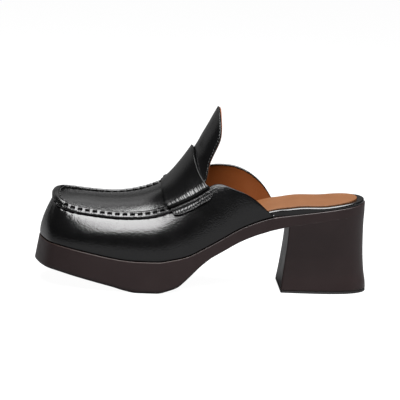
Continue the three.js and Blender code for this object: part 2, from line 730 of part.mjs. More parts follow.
function upperGeometry() {
  const sheet = new Sheet();
  const entry = (point, level = false) => ({ point, inside: -wallThickness, outside: 0, level });
  const wallShares = [0, 0.12, 0.27, 0.42, 0.56, 0.68, 0.79, 0.9, 1];
  const wallRibs = denseAtToe(ribOf.wingEnd, 2 * (ribOf.wingEnd - ribOf.toeCorner));
  sheet.grid(wallRibs.map((u) => wallShares.map((v) => entry(wallPoint(u, v), v === 0))));
  const apronRibs = wallRibs.filter((u) => Math.abs(u) <= ribOf.throat);
  const apronPoint = (u, w) => (w === 0 ? topEdge(u) : archPoint(u, w));
  sheet.grid(apronRibs.map((u) => archShares.map((w) => entry(apronPoint(u, w)))));
  return sheet.solid();
}

// Point beside the apron seam. across: -1 on the wall's side of the seam band, 0 on the seam, 1 on the
// apron's side.
function besideSeam(u, across) {
  const [, , shoulder, head] = wallRib(u);
  const [edge, low] = archRib(u);
  const reach = (seamWidth / 2) * Math.abs(across);
  if (across <= 0) return wallPoint(u, 1 - reach / (3 * shoulder.distanceTo(head)));
  return archPoint(u, reach / (3 * low.distanceTo(edge)));
}

const seamProfile = (across) => Math.sqrt(Math.max(0, 1 - across * across));

function apronSeamGeometry() {
  const sheet = new Sheet();
  const ribs = denseAtToe(ribOf.seamEnd, 11);
  const rows = ribs.map((u) =>
    [-1, -0.7, -0.35, 0, 0.35, 0.7, 1].map((across) => ({
      point: besideSeam(u, across),
      inside: gap,
      outside: gap + seamEdgeHeight + (seamHeight - seamEdgeHeight) * seamProfile(across),
    })),
  );
  sheet.grid(rows);
  return sheet.solid();
}

// The strap lies on the arch and runs over the seam's ridge down to a tab on each side.
function strapGeometry() {
  const sheet = new Sheet();
  const lengthShares = [0, 0.07, 0.22, 0.4, 0.6, 0.78, 0.93, 1];
  const paddedRear = 0.45; // the roll over the seam's line keeps this share of its height at the rear
  const overSeam = (across) => (seamHeight + gap) * seamProfile(across / 1.35);
  const stationPoint = ({ over, share }, u) => {
    if (over === 'seam') return besideSeam(u, share);
    if (over === 'arch') return archPoint(u, share);
    const [, , shoulder, head] = wallRib(u);
    const seamEdge = seamWidth / 2 / (3 * shoulder.distanceTo(head));
    return wallPoint(u, 1 - mix(seamEdge, tabReach, share));
  };
  const rowOf = (sign, station) =>
    lengthShares.map((share) => {
      const rib = mix(station.front, station.rear, share);
      const lift = station.over === 'seam' ? overSeam(station.share) : 0;
      const onSeam = 1 - ease((rib - ribOf.seamEnd) / 1.1);
      return {
        point: stationPoint(station, sign * rib),
        inside: softGap + lift * onSeam,
        outside: softGap + strapThickness + lift * mix(paddedRear, 1, onSeam),
      };
    });
  const outer = strapRows.map((station) => rowOf(-1, station));
  const inner = strapRows.slice(0, -1).map((station) => rowOf(1, station));
  sheet.grid([...outer, ...inner.reverse()]);
  return sheet.solid();
}

// The tongue starts behind the apron's rear edge, under the strap, and follows the arch to its round tip.
function tongueGeometry() {
  const sheet = new Sheet();
  const tipShare = 0.985; // the tip stays open by the rest
  const trim = steadyCurve(tongueSideRows.map((row) => row.rib), tongueSideRows.map((row) => row.trim));
  const ribs = [
    ...steps(ribOf.tongueStart, ribOf.tongueTip, 7),
    ...[0.27, 0.5, 0.7, 0.85, 0.95, 1].map((share) => mix(ribOf.tongueTip, ribOf.tongueEnd, share)),
  ];
  const rows = ribs.map((rib) => {
    const round = Math.max(0, (rib - ribOf.tongueTip) / (ribOf.tongueEnd - ribOf.tongueTip));
    const closing = mix(trim(rib), 1, 1 - Math.sqrt(1 - (tipShare * round) ** 2));
    const entry = (point) => ({ point, inside: -tongueGap - tongueThickness, outside: -tongueGap });
    const side = (sign) =>
      archShares.slice(0, -1).map((share) => entry(archPoint(sign * rib, mix(closing, 1, share))));
    return [...side(1), entry(ridge(rib)), ...side(-1).reverse()];
  });
  sheet.grid(rows);
  return sheet.solid();
}

const darkSole = { color: 0x2b2021, roughness: 0.45, metalness: 0 };
const blackLeather = { color: 0x111112, roughness: 0.32, metalness: 0 };
const tanLeather = { color: 0xa9693f, roughness: 0.55, metalness: 0 };

const pieces = [
  ['outsole', outsoleGeometry(), darkSole],
  ['heel', heelGeometry(), darkSole],
  ['upper', upperGeometry(), blackLeather],
  ['footbed', footbedGeometry(), blackLeather],
  ['insole', insoleGeometry(), tanLeather],
  ['tongue', tongueGeometry(), blackLeather],
  ['apron_seam', apronSeamGeometry(), blackLeather],
  ['saddle_strap', strapGeometry(), blackLeather],
];

const mule = new THREE.Group();
for (const [name, geometry, finish] of pieces) {
  const mesh = new THREE.Mesh(geometry, new THREE.MeshStandardMaterial(finish));
  mesh.name = name;
  mule.add(mesh);
}

export default mule;
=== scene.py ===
import math
import bpy
import numpy as np
from mathutils import Matrix, Vector


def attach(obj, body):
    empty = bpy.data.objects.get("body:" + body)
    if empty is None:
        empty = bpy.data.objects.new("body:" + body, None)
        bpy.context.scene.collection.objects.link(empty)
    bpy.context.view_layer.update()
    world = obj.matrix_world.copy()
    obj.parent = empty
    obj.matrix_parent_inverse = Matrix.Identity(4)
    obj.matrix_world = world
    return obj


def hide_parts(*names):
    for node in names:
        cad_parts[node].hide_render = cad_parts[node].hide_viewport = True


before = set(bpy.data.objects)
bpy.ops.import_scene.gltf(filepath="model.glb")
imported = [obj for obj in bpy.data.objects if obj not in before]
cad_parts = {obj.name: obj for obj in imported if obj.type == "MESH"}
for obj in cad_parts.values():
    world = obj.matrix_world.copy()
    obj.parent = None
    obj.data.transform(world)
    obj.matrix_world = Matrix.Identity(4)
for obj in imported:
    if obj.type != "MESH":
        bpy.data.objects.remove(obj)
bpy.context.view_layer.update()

# A black leather heeled mule with a raised apron seam, a saddle strap, tan lining and a dark brown
# platform sole. Shapes are worked out in millimetres and scaled to metres when a mesh is made.
# X runs from toe to heel, Y to the inner side of the foot, Z up.

metre = 0.001
print("frame loaded:", ", ".join(sorted(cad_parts)))

# Sizes of the whole shoe
shoe = {
    "length": 250,
    "ballWidth": 95,
    "heelSeatWidth": 61,
    "platformHeight": 23.2,  # top of the sole at the ball
    "toeRise": 9.9,
    "seatHeight": 67.6,
    "shankThickness": 9.6,
    "seatThickness": 7,
    "soleLedge": 0.4,  # sole's top edge outside the upper
    "boxHeight": 32.2,
    "wingHeight": 45,
    "instepHeight": 80.2,
    "archHalfWidth": 34,
    "tongueRise": 31,
    "tongueRun": 16.3,
    "gap": 0.3,
}
ballHalf = shoe["ballWidth"] / 2
heelHalf = shoe["heelSeatWidth"] / 2
gap = shoe["gap"]


def columns(names, rows):
    return dict(zip(names.split(), np.array(rows, float).T))


# Side profile of the sole: place along the length, then shares of the toe's rise, of the seat's rise,
# of the platform's extra thickness and of the thinning above the heel
soleRows = columns("at toe seat front thin", [
    (-0.489, 1, 0, 0.63, 0), (-0.444, 0.9, 0, 0.68, 0), (-0.373, 0.62, 0, 0.74, 0),
    (-0.302, 0.3, 0, 0.79, 0), (-0.267, 0.16, 0, 0.83, 0), (-0.232, 0.05, 0, 0.92, 0),
    (-0.193, 0, 0, 1, 0), (-0.135, 0, 0, 1, 0), (-0.092, 0, 0.038, 0.93, 0),
    (-0.074, 0, 0.056, 0.85, 0), (-0.057, 0, 0.08, 0.67, 0), (-0.04, 0, 0.11, 0.46, 0),
    (-0.022, 0, 0.158, 0.28, 0), (-0.005, 0, 0.21, 0.145, 0), (0.03, 0, 0.315, 0, 0),
    (0.065, 0, 0.427, 0, 0), (0.1, 0, 0.54, 0, 0), (0.136, 0, 0.632, 0, 0),
    (0.172, 0, 0.705, 0, 0), (0.206, 0, 0.757, 0, 0.15), (0.25, 0, 0.8, 0, 0.5),
    (0.314, 0, 0.856, 0, 0.75), (0.4, 0, 0.93, 0, 0.95), (0.486, 0, 1, 0, 1),
])

# Outline of the sole's top edge from the toe's middle to the back of the heel
outlineRows = columns("outerAt outer innerAt inner", [
    (-0.489, 0, -0.489, 0), (-0.48, 0.3, -0.483, 0.29), (-0.461, 0.6, -0.467, 0.56),
    (-0.438, 0.755, -0.443, 0.725), (-0.397, 0.868, -0.403, 0.845), (-0.337, 0.945, -0.341, 0.935),
    (-0.265, 0.985, -0.269, 0.985), (-0.197, 1, -0.203, 0.998), (-0.137, 0.992, -0.141, 0.95),
    (-0.085, 0.975, -0.087, 0.885), (-0.041, 0.967, -0.042, 0.84), (0.003, 0.968, 0.003, 0.825),
    (0.039, 0.974, 0.04, 0.83), (0.077, 0.983, 0.079, 0.86), (0.113, 0.994, 0.117, 0.91),
    (0.149, 0.998, 0.155, 0.96), (0.18, 0.99, 0.189, 1), (0.204, 0.982, 0.218, 1.014),
    (0.255, 0.978, 0.262, 1.02), (0.311, 0.978, 0.315, 1.02), (0.359, 0.955, 0.362, 1.005),
    (0.403, 0.885, 0.404, 0.945), (0.44, 0.74, 0.44, 0.805), (0.466, 0.515, 0.466, 0.585),
    (0.4795, 0.25, 0.4795, 0.32), (0.484, -0.035, 0.484, 0.035),
])

# Top edge of the upper's wall: apron seam first, then the top line of each wing
outerTopRows = columns("at side box wing", [
    (-0.4465, 0, 1, 0), (-0.4435, 0.25, 0.98, 0), (-0.433, 0.46, 0.93, 0),
    (-0.402, 0.588, 0.868, 0), (-0.363, 0.635, 0.86, 0), (-0.313, 0.682, 0.895, 0),
    (-0.253, 0.728, 0.95, 0), (-0.193, 0.75, 1.01, 0), (-0.137, 0.754, 1.1, 0),
    (-0.085, 0.77, 1.22, 0), (-0.036, 0.798, 0, 0.955), (0.01, 0.838, 0, 0.995),
    (0.045, 0.887, 0, 0.925), (0.081, 0.946, 0, 0.74), (0.117, 0.995, 0, 0.56),
    (0.152, 1.015, 0, 0.36), (0.182, 1.01, 0, 0.16), (0.203, 0.985, 0, 0.035),
])
innerTopRows = columns("at side box wing", [
    (-0.4465, 0, 1, 0), (-0.4435, 0.265, 1.005, 0), (-0.43, 0.45, 1.02, 0),
    (-0.401, 0.53, 1.035, 0), (-0.365, 0.577, 1.045, 0), (-0.315, 0.628, 1.075, 0),
    (-0.255, 0.672, 1.14, 0), (-0.196, 0.695, 1.25, 0), (-0.14, 0.705, 1.39, 0),
    (-0.088, 0.724, 1.52, 0), (-0.037, 0.753, 0, 1.14), (0.012, 0.798, 0, 1.13),
    (0.045, 0.845, 0, 1.06), (0.083, 0.9, 0, 0.925), (0.121, 0.965, 0, 0.755),
    (0.158, 1.01, 0, 0.55), (0.191, 1.022, 0, 0.31), (0.217, 1.016, 0, 0.05),
])

# How each rib of the wall curves: bulge and shoulder push its low and high bend outwards, lift and
# fall set their heights
wallRows = columns("bulge lift shoulder fall", [
    (0.012, 0.36, 0.08, 0.165), (0.014, 0.36, 0.09, 0.16), (0.018, 0.36, 0.115, 0.145),
    (0.022, 0.35, 0.16, 0.12), (0.03, 0.37, 0.195, 0.105), (0.04, 0.39, 0.21, 0.1),
    (0.045, 0.4, 0.21, 0.1), (0.05, 0.4, 0.195, 0.11), (0.05, 0.4, 0.165, 0.15),
    (0.05, 0.38, 0.13, 0.2), (0.05, 0.36, 0.09, 0.25), (0.05, 0.34, 0.055, 0.27),
    (0.045, 0.34, 0.035, 0.25), (0.04, 0.34, 0.028, 0.2), (0.032, 0.34, 0.02, 0.15),
    (0.022, 0.34, 0.014, 0.1), (0.01, 0.34, 0.006, 0.045), (0, 0.34, 0, 0.009),
])

# Ridge of the apron, instep and tongue, as shares of their rise, and how flat the arch is below it
ridgeRows = columns("at instep tongue lean flat", [
    (-0.361, 0.518, 0, 0, 0.5), (-0.358, 0.517, 0, 0, 0.5), (-0.349, 0.515, 0, 0, 0.5),
    (-0.335, 0.512, 0, 0, 0.5), (-0.313, 0.508, 0, 0, 0.5), (-0.281, 0.508, 0, 0, 0.5),
    (-0.239, 0.518, 0, 0, 0.5), (-0.197, 0.538, 0, 0, 0.46), (-0.159, 0.58, 0, 0, 0.38),
    (-0.1215, 0.657, 0, 0, 0.28), (-0.0805, 0.804, 0, 0, 0.18), (-0.0376, 1, 0, 0, 0.12),
    (-0.0376, 1, 0.28, 0.285, 0.1), (-0.0376, 1, 0.545, 0.555, 0.1), (-0.0376, 1, 0.785, 0.785, 0.1),
    (-0.0376, 1, 1, 1, 0.1),
])

# Edges of the arch past the strap, measured from the ridge in half widths of the arch
outerTongueRows = columns("back side drop", [
    (0.32, 0.96, 0.65), (0.3, 0.93, 0.58), (0.29, 0.88, 0.47), (0.27, 0.82, 0.39),
])
innerTongueRows = columns("back side drop", [
    (0.3, 0.94, 0.53), (0.29, 0.92, 0.5), (0.29, 0.88, 0.44), (0.27, 0.82, 0.37),
])

# Ribs are counted from the toe's middle: plus on the inner side, minus on the outer side
backRib = len(outlineRows["outer"]) - 1
wingRib = len(wallRows["bulge"]) - 1
tongueRib = len(ridgeRows["at"]) - 1
tongueStartRib = tongueRib + 1 - len(outerTongueRows["back"])
throatRib = 10
seamEndRib = 9.4
seamCoverRib = 9.1  # the seam covers the wall's top edge up to here
bareRimRib = 9.9  # and from here on that edge is a bare rim
toeCornerRib = 4
breastRib = 17.9


def mix(a, b, t):
    return a + (b - a) * t


def ease(t):
    t = np.clip(t, 0, 1)
    return t * t * (3 - 2 * t)


def bump(x, middle, spread):
    return np.exp(-(((x - middle) / spread) ** 2))


def vec(x, y, z):
    return np.stack(np.broadcast_arrays(x, y, z), -1).astype(float)


def size(v):
    return np.linalg.norm(v, axis=-1)


def unit(v):
    return v / np.maximum(size(v), 1e-9)[..., None]


def localHalf(at):  # half width of the foot: the ball's in front, the heel seat's behind
    return mix(ballHalf, heelHalf, ease((at + 0.14) / 0.34))


def smoothCurve(values, knots=None):  # natural cubic through values or points
    values = np.asarray(values, float)
    count = len(values)
    knots = np.arange(count, dtype=float) if knots is None else np.asarray(knots, float)
    gaps = np.diff(knots)
    wide = (-1,) + (1,) * (values.ndim - 1)
    slopes = np.diff(values, axis=0) / gaps.reshape(wide)
    system = np.eye(count)
    for i in range(1, count - 1):
        system[i, i - 1 : i + 2] = gaps[i - 1], 2 * (gaps[i - 1] + gaps[i]), gaps[i]
    pull = np.zeros_like(values)
    pull[1:-1] = 6 * np.diff(slopes, axis=0)
    bend = np.linalg.solve(system, pull.reshape(count, -1)).reshape(values.shape)

    def at(t):
        t = np.asarray(t, float)
        i = np.clip(np.searchsorted(knots, t, side="right") - 1, 0, count - 2)
        shape = t.shape + (1,) * (values.ndim - 1)
        step = gaps[i].reshape(shape)
        b = (t - knots[i]).reshape(shape) / step
        a = 1 - b
        curve = (a**3 - a) * bend[i] + (b**3 - b) * bend[i + 1]
        return a * values[i] + b * values[i + 1] + curve * step**2 / 6

    return at


def steadyCurve(xs, ys):  # never overshoots its points
    xs, ys = np.asarray(xs, float), np.asarray(ys, float)
    steps = np.diff(xs)
    slope = np.diff(ys) / steps
    product = slope[:-1] * slope[1:]
    total = slope[:-1] + slope[1:]
    middle = np.where(product > 0, 2 * product / np.where(total == 0, 1, total), 0)
    tangent = np.concatenate([slope[:1], middle, slope[-1:]])

    def at(x):
        x = np.asarray(x, float)
        i = np.clip(np.searchsorted(xs, x) - 1, 0, len(xs) - 2)
        step = steps[i]
        t = np.clip((x - xs[i]) / step, 0, 1)
        rise = ys[i + 1] - ys[i]
        start, end = tangent[i] * step, tangent[i + 1] * step
        return ys[i] + t * (start + t * (3 * rise - 2 * start - end + t * (start + end - 2 * rise)))

    return at


def bothSides(outer, inner):  # minus the last rib on the outer side, 0 at the toe, plus on the inner
    curve = smoothCurve(np.concatenate([outer[:0:-1], inner]))
    last = len(outer) - 1
    return lambda u: curve(np.asarray(u, float) + last)


def bezier(p0, p1, p2, p3, t):
    t = np.asarray(t, float)[..., None]
    s = 1 - t
    return s**3 * p0 + 3 * s * s * t * p1 + 3 * s * t * t * p2 + t**3 * p3


profileAt = soleRows["at"] * shoe["length"]
soleTop = steadyCurve(
    profileAt,
    shoe["platformHeight"]
    + soleRows["toe"] * shoe["toeRise"]
    + soleRows["seat"] * (shoe["seatHeight"] - shoe["platformHeight"]),
)
soleThickness = steadyCurve(
    profileAt,
    shoe["shankThickness"]
    + soleRows["front"] * (shoe["platformHeight"] - shoe["shankThickness"])
    - soleRows["thin"] * (shoe["shankThickness"] - shoe["seatThickness"]),
)


def soleBottom(x):
    return soleTop(x) - soleThickness(x)


outlineX = bothSides(outlineRows["outerAt"] * shoe["length"], outlineRows["innerAt"] * shoe["length"])
outlineY = bothSides(
    -outlineRows["outer"] * localHalf(outlineRows["outerAt"]),
    outlineRows["inner"] * localHalf(outlineRows["innerAt"]),
)


def outline(u, out=0):  # outline point in plan, moved outwards
    u = np.asarray(u, float)
    step = 0.01
    atBack = np.abs(u) > backRib - step
    alongX = np.where(atBack, 0, outlineX(u + step) - outlineX(u - step))
    alongY = np.where(atBack, -1, outlineY(u + step) - outlineY(u - step))
    length = np.hypot(alongX, alongY)
    return vec(outlineX(u) - out * alongY / length, outlineY(u) + out * alongX / length, 0)


def topHeight(rows):
    lift = rows["box"] * shoe["boxHeight"] + rows["wing"] * shoe["wingHeight"]
    return soleTop(rows["at"] * shoe["length"]) + lift


def topPoints(rows, sign):
    return vec(rows["at"] * shoe["length"], sign * rows["side"] * localHalf(rows["at"]), topHeight(rows))


outerTop, innerTop = topPoints(outerTopRows, -1), topPoints(innerTopRows, 1)
topEdge = bothSides(outerTop, innerTop)


def feather(u):
    point = outline(u, -shoe["soleLedge"])
    point[..., 2] = soleTop(point[..., 0]) + gap
    return point


def outwardsAt(curve, u):
    step = 0.02
    along = curve(u + step) - curve(u - step)
    return unit(vec(-along[..., 1], along[..., 0], 0))


wallCurve = {name: smoothCurve(values) for name, values in wallRows.items()}


def wallRib(u):  # four points that bend one rib, from the feather line to the top edge
    rib = np.abs(u)
    foot, head = feather(u), topEdge(u)
    height = head[..., 2] - foot[..., 2]
    low = foot + vec(0, 0, wallCurve["lift"](rib) * height)
    low += outwardsAt(feather, u) * (wallCurve["bulge"](rib) * ballHalf)[..., None]
    high = head - vec(0, 0, wallCurve["fall"](rib) * ballHalf)
    high += outwardsAt(topEdge, u) * (wallCurve["shoulder"](rib) * ballHalf)[..., None]
    return foot, low, high, head


def wallPoint(u, v):
    return bezier(*wallRib(u), v)


ridge = smoothCurve(
    vec(
        ridgeRows["at"] * shoe["length"] + ridgeRows["lean"] * shoe["tongueRun"],
        0,
        shoe["platformHeight"]
        + ridgeRows["instep"] * shoe["instepHeight"]
        + ridgeRows["tongue"] * shoe["tongueRise"],
    )
)
archFlat = smoothCurve(ridgeRows["flat"])


def archEdgePoints(top, rows, sign):
    crest = ridge(np.arange(tongueStartRib, tongueRib + 1))
    half = shoe["archHalfWidth"]
    x = crest[:, 0] + rows["back"] * half
    z = crest[:, 2] - rows["drop"] * half
    return np.concatenate([top[:tongueStartRib], vec(x, sign * rows["side"] * half, z)])


archEdge = bothSides(
    archEdgePoints(outerTop, outerTongueRows, -1), archEdgePoints(innerTop, innerTongueRows, 1)
)


def archRib(u):  # four points that bend one rib of the arch, from its edge to the ridge
    rib = np.abs(u)
    step, roundness = 0.02, 0.55
    edge, crest = archEdge(u), ridge(rib)
    along = unit(ridge(np.minimum(tongueRib, rib + step)) - ridge(np.maximum(0, rib - step)))
    span = crest - edge
    level = along * (span * along).sum(-1)[..., None] + span * (0, 1, 0)
    low = edge + (span - level) * roundness + level * (roundness * archFlat(rib))[..., None]
    return edge, low, crest - span * (0, roundness, 0), crest


def archPoint(u, w):
    return bezier(*archRib(u), w)


print("forms ready")

# Meshes from grids of points

weldReach = 0.004  # points nearer than this become one
surfaceMarks = ("edge", "shade_and_edge_paint", "crease")  # what the finishes read from each mesh


def gridNormals(points):
    down, across = np.gradient(points, axis=0), np.gradient(points, axis=1)
    return unit(np.cross(across, down))


def distances(points, axis):  # length run from the grid's start along one axis
    steps = size(np.diff(points, axis=axis))
    pad = [(0, 0), (0, 0)]
    pad[axis] = (1, 0)
    return np.cumsum(np.pad(steps, pad), axis=axis)


def rounded(distance, radius):  # how far an edge of this radius falls away, by distance from it
    t = 1 - np.clip(distance / radius, 0, 1)
    return radius * (1 - np.sqrt(np.maximum(0, 1 - t * t)))


def gridQuads(shape, start):
    ids = start + np.arange(shape[0] * shape[1]).reshape(shape)
    return np.stack([ids[:-1, :-1], ids[:-1, 1:], ids[1:, 1:], ids[1:, :-1]], -1).reshape(-1, 4)


def gather(grids, name, trim=0):  # what the grids hold for each point, or with trim 1 for each face
    parts = []
    for grid in grids:
        rows, cols = grid["point"].shape[:2]
        parts.append(np.broadcast_to(grid.get(name, 0), (rows - trim, cols - trim)).reshape(-1))
    return np.concatenate(parts)


def linkPiece(name, mesh, finishes):
    mesh.polygons.foreach_set("use_smooth", np.ones(len(mesh.polygons), bool))
    for finish in finishes:
        mesh.materials.append(finish)
    mesh.update()
    piece = bpy.data.objects.new(name, mesh)
    bpy.context.scene.collection.objects.link(piece)
    return piece


def makeMesh(name, points, faces, uv, slots, finishes, marks):
    cleanFaces, cleanUv, cleanSlots = [], [], []
    for face, corner, slot in zip(faces.tolist(), uv.tolist(), slots.tolist()):
        ring = [k for k in range(len(face)) if face[k] != face[k - 1]]
        if len(ring) < 3 or len(set(face)) < len(ring):
            continue
        cleanFaces.append([face[k] for k in ring])
        cleanUv.extend(corner[k] for k in ring)
        cleanSlots.append(slot)
    mesh = bpy.data.meshes.new(name)
    mesh.from_pydata((points * metre).tolist(), [], cleanFaces)
    layer = mesh.uv_layers.new(name="run")
    layer.data.foreach_set("uv", np.array(cleanUv, np.float32).ravel() * metre)
    mesh.polygons.foreach_set("material_index", np.array(cleanSlots, np.int32))
    for key, values in marks.items():
        mesh.attributes.new(key, "FLOAT", "POINT").data.foreach_set("value", values.astype(np.float32))
    return linkPiece(name, mesh, finishes)


def weldGrids(grids):  # grids that touch share their points
    points = np.concatenate([grid["point"].reshape(-1, 3) for grid in grids])
    starts = np.cumsum([0] + [grid["point"][..., 0].size for grid in grids])
    corners = np.concatenate([gridQuads(g["point"].shape[:2], s) for g, s in zip(grids, starts)])
    runs = np.concatenate([grid["run"].reshape(-1, 2) for grid in grids])
    keys = np.round(points / weldReach).astype(np.int64)
    _, first, index = np.unique(keys, axis=0, return_index=True, return_inverse=True)
    return points[first], index.reshape(-1)[corners], corners, runs, first


def shellPiece(name, grids, finishes):  # closed solid between each grid's inside and outside offsets
    base, quads, corners, runs, first = weldGrids(grids)
    facing = np.cross(base[quads[:, 2]] - base[quads[:, 0]], base[quads[:, 3]] - base[quads[:, 1]])
    normals = np.zeros_like(base)
    for k in range(4):
        np.add.at(normals, quads[:, k], facing)
    normals[:, 2] *= 1 - gather(grids, "level")[first]
    normals = unit(normals)
    outside, inside = (base + normals * gather(grids, key)[first][:, None] for key in ("outside", "inside"))
    count = len(base)
    edges = np.stack([quads, np.roll(quads, -1, axis=1)], -1).reshape(-1, 2)
    edgeCorners = np.stack([corners, np.roll(corners, -1, axis=1)], -1).reshape(-1, 2)
    keys = edges[:, 0] * count + edges[:, 1]
    isOpen = ~np.isin(keys, edges[:, 1] * count + edges[:, 0]) & (edges[:, 0] != edges[:, 1])
    rim = edges[isOpen]
    rimQuads = np.stack([rim[:, 1], rim[:, 0], rim[:, 0] + count, rim[:, 1] + count], -1)
    rimUv = runs[edgeCorners[isOpen]][:, [1, 0, 0, 1]]
    faces = np.concatenate([quads, quads[:, ::-1] + count, rimQuads])
    uv = np.concatenate([runs[corners], runs[corners[:, ::-1]], rimUv])
    outerSlots, rimSlots = np.zeros(len(quads), int), np.zeros(len(rim), int)
    slots = np.concatenate([outerSlots, gather(grids, "innerSlot", 1), rimSlots])
    marks = {key: np.append(gather(grids, key)[first], np.zeros(count)) for key in surfaceMarks}
    return makeMesh(name, np.concatenate([outside, inside]), faces, uv, slots, finishes, marks)


def skinPiece(name, grids, finish):  # grids that together close a solid
    base, quads, corners, runs, first = weldGrids(grids)
    a, b, c, d = (base[quads[:, k]] - base.mean(0) for k in range(4))
    volume = (a * np.cross(b, c)).sum() + (a * np.cross(c, d)).sum()
    if volume < 0:
        quads, corners = quads[:, ::-1], corners[:, ::-1]
    marks = {key: gather(grids, key)[first] for key in surfaceMarks}
    return makeMesh(name, base, quads, runs[corners], np.zeros(len(quads), int), [finish], marks)


def runsOf(points):
    return np.stack([distances(points, 0), distances(points, 1)], -1)


def ribSpread(last, perRib, perToeRib):  # ribs from one side to the other, denser round the toe
    side = np.linspace(toeCornerRib, last, int((last - toeCornerRib) * perRib) + 1)
    toe = np.linspace(-toeCornerRib, toeCornerRib, int(2 * toeCornerRib * perToeRib) + 1)
    return np.round(np.concatenate([-side[:0:-1], toe, side[1:]]), 6)


# Finishes

def newGroup(name, inputs, outputs):
    group = bpy.data.node_groups.new(name, "ShaderNodeTree")
    for label, value in inputs.items():
        socket = group.interface.new_socket(name=label, in_out="INPUT", socket_type="NodeSocketFloat")
        socket.default_value = value
    for label in outputs:
        group.interface.new_socket(name=label, in_out="OUTPUT", socket_type="NodeSocketFloat")
    return group, group.nodes.new("NodeGroupInput"), group.nodes.new("NodeGroupOutput")


def addNode(tree, kind, **settings):
    node = tree.nodes.new("ShaderNode" + kind)
    for key, value in settings.items():
        setattr(node, key, value)
    return node


def feed(tree, socket, value):  # a fixed number or colour, or a link from another node
    if isinstance(value, tuple):
        socket.default_value = (*value, 1)
    elif isinstance(value, (int, float)):
        socket.default_value = value
    else:
        tree.links.new(value, socket)


def maths(tree, operation, *values, clamp=False):
    node = addNode(tree, "Math", operation=operation, use_clamp=clamp)
    for socket, value in zip(node.inputs, values):
        feed(tree, socket, value)
    return node.outputs[0]


def blendColour(tree, factor, first, second):
    node = addNode(tree, "Mix", data_type="RGBA")
    for index, value in ((0, factor), (6, first), (7, second)):  # the sockets of a Mix node for colours
        feed(tree, node.inputs[index], value)
    return node.outputs[2]


def surfacePoint(tree, stretch=(1, 1, 1)):
    coordinates = addNode(tree, "TexCoord")
    mapping = addNode(tree, "Mapping")
    mapping.inputs["Scale"].default_value = stretch
    tree.links.new(coordinates.outputs["Object"], mapping.inputs["Vector"])
    return mapping.outputs[0]


def noise(tree, vector, scale, detail=3, roughness=0.5):
    node = addNode(tree, "TexNoise")
    node.inputs["Scale"].default_value = scale
    node.inputs["Detail"].default_value = detail
    node.inputs["Roughness"].default_value = roughness
    tree.links.new(vector, node.inputs["Vector"])
    return node.outputs["Fac"]


def makeGrain():  # pebbled skin: soft cells, fine hairlines and broad patches of another shade
    inputs = {"Cell Size": 0.0009, "Fine": 0.4}
    group, given, result = newGroup("leatherGrain", inputs, ["Height", "Variation"])
    where = surfacePoint(group)
    warp = addNode(group, "TexNoise")
    warp.inputs["Scale"].default_value = 900
    group.links.new(where, warp.inputs["Vector"])
    shifted = addNode(group, "VectorMath", operation="MULTIPLY_ADD")
    shifted.inputs[1].default_value = (0.0006, 0.0006, 0.0006)  # how far the cells' borders wander
    group.links.new(warp.outputs["Color"], shifted.inputs[0])
    group.links.new(where, shifted.inputs[2])
    cells = addNode(group, "TexVoronoi", feature="SMOOTH_F1")
    cells.inputs["Smoothness"].default_value = 0.35
    group.links.new(shifted.outputs[0], cells.inputs["Vector"])
    group.links.new(maths(group, "DIVIDE", 1.0, given.outputs["Cell Size"]), cells.inputs["Scale"])
    pebble = maths(group, "SUBTRACT", 1.0, cells.outputs["Distance"])
    hair = noise(group, where, scale=5200, detail=4, roughness=0.6)
    hair = maths(group, "MULTIPLY", hair, given.outputs["Fine"])
    patches = noise(group, where, scale=60, detail=4, roughness=0.6)
    group.links.new(maths(group, "ADD", pebble, hair), result.inputs["Height"])
    group.links.new(patches, result.inputs["Variation"])
    return group


def makeEdgeWearAndHighlight():  # edge colour where the mesh says an edge is, broken up by noise: worn rims, and on the sole a painted highlight along its top edge
    group, given, result = newGroup("edgeWearAndHighlight", {"Amount": 1.0}, ["Mask"])
    edge = addNode(group, "Attribute", attribute_name="edge")
    broken = noise(group, surfacePoint(group), scale=700, detail=4, roughness=0.65)
    mask = maths(group, "MULTIPLY", edge.outputs["Fac"], maths(group, "MULTIPLY", broken, 1.6))
    mask = maths(group, "MULTIPLY", mask, given.outputs["Amount"], clamp=True)
    group.links.new(mask, result.inputs["Mask"])
    return group


def makeCreases():  # fine wrinkles that run along a piece, where the mesh says it is creased
    group, given, result = newGroup("fineCreases", {"Pitch": 0.0012, "Length": 0.008}, ["Height"])
    run = addNode(group, "UVMap", uv_map="run")
    split = addNode(group, "SeparateXYZ")
    joined = addNode(group, "CombineXYZ")
    group.links.new(run.outputs["UV"], split.inputs[0])
    group.links.new(maths(group, "DIVIDE", split.outputs[0], given.outputs["Length"]), joined.inputs[0])
    group.links.new(maths(group, "DIVIDE", split.outputs[1], given.outputs["Pitch"]), joined.inputs[1])
    lines = noise(group, joined.outputs[0], scale=1, detail=3, roughness=0.6)
    crease = addNode(group, "Attribute", attribute_name="crease")
    group.links.new(maths(group, "MULTIPLY", lines, crease.outputs["Fac"]), result.inputs["Height"])
    return group


groups = {"grain": makeGrain(), "wearAndHighlight": makeEdgeWearAndHighlight(), "creases": makeCreases()}


def placeGroup(tree, key, values):
    node = addNode(tree, "Group", node_tree=groups[key])
    for label, value in values.items():
        node.inputs[label].default_value = value
    return node.outputs


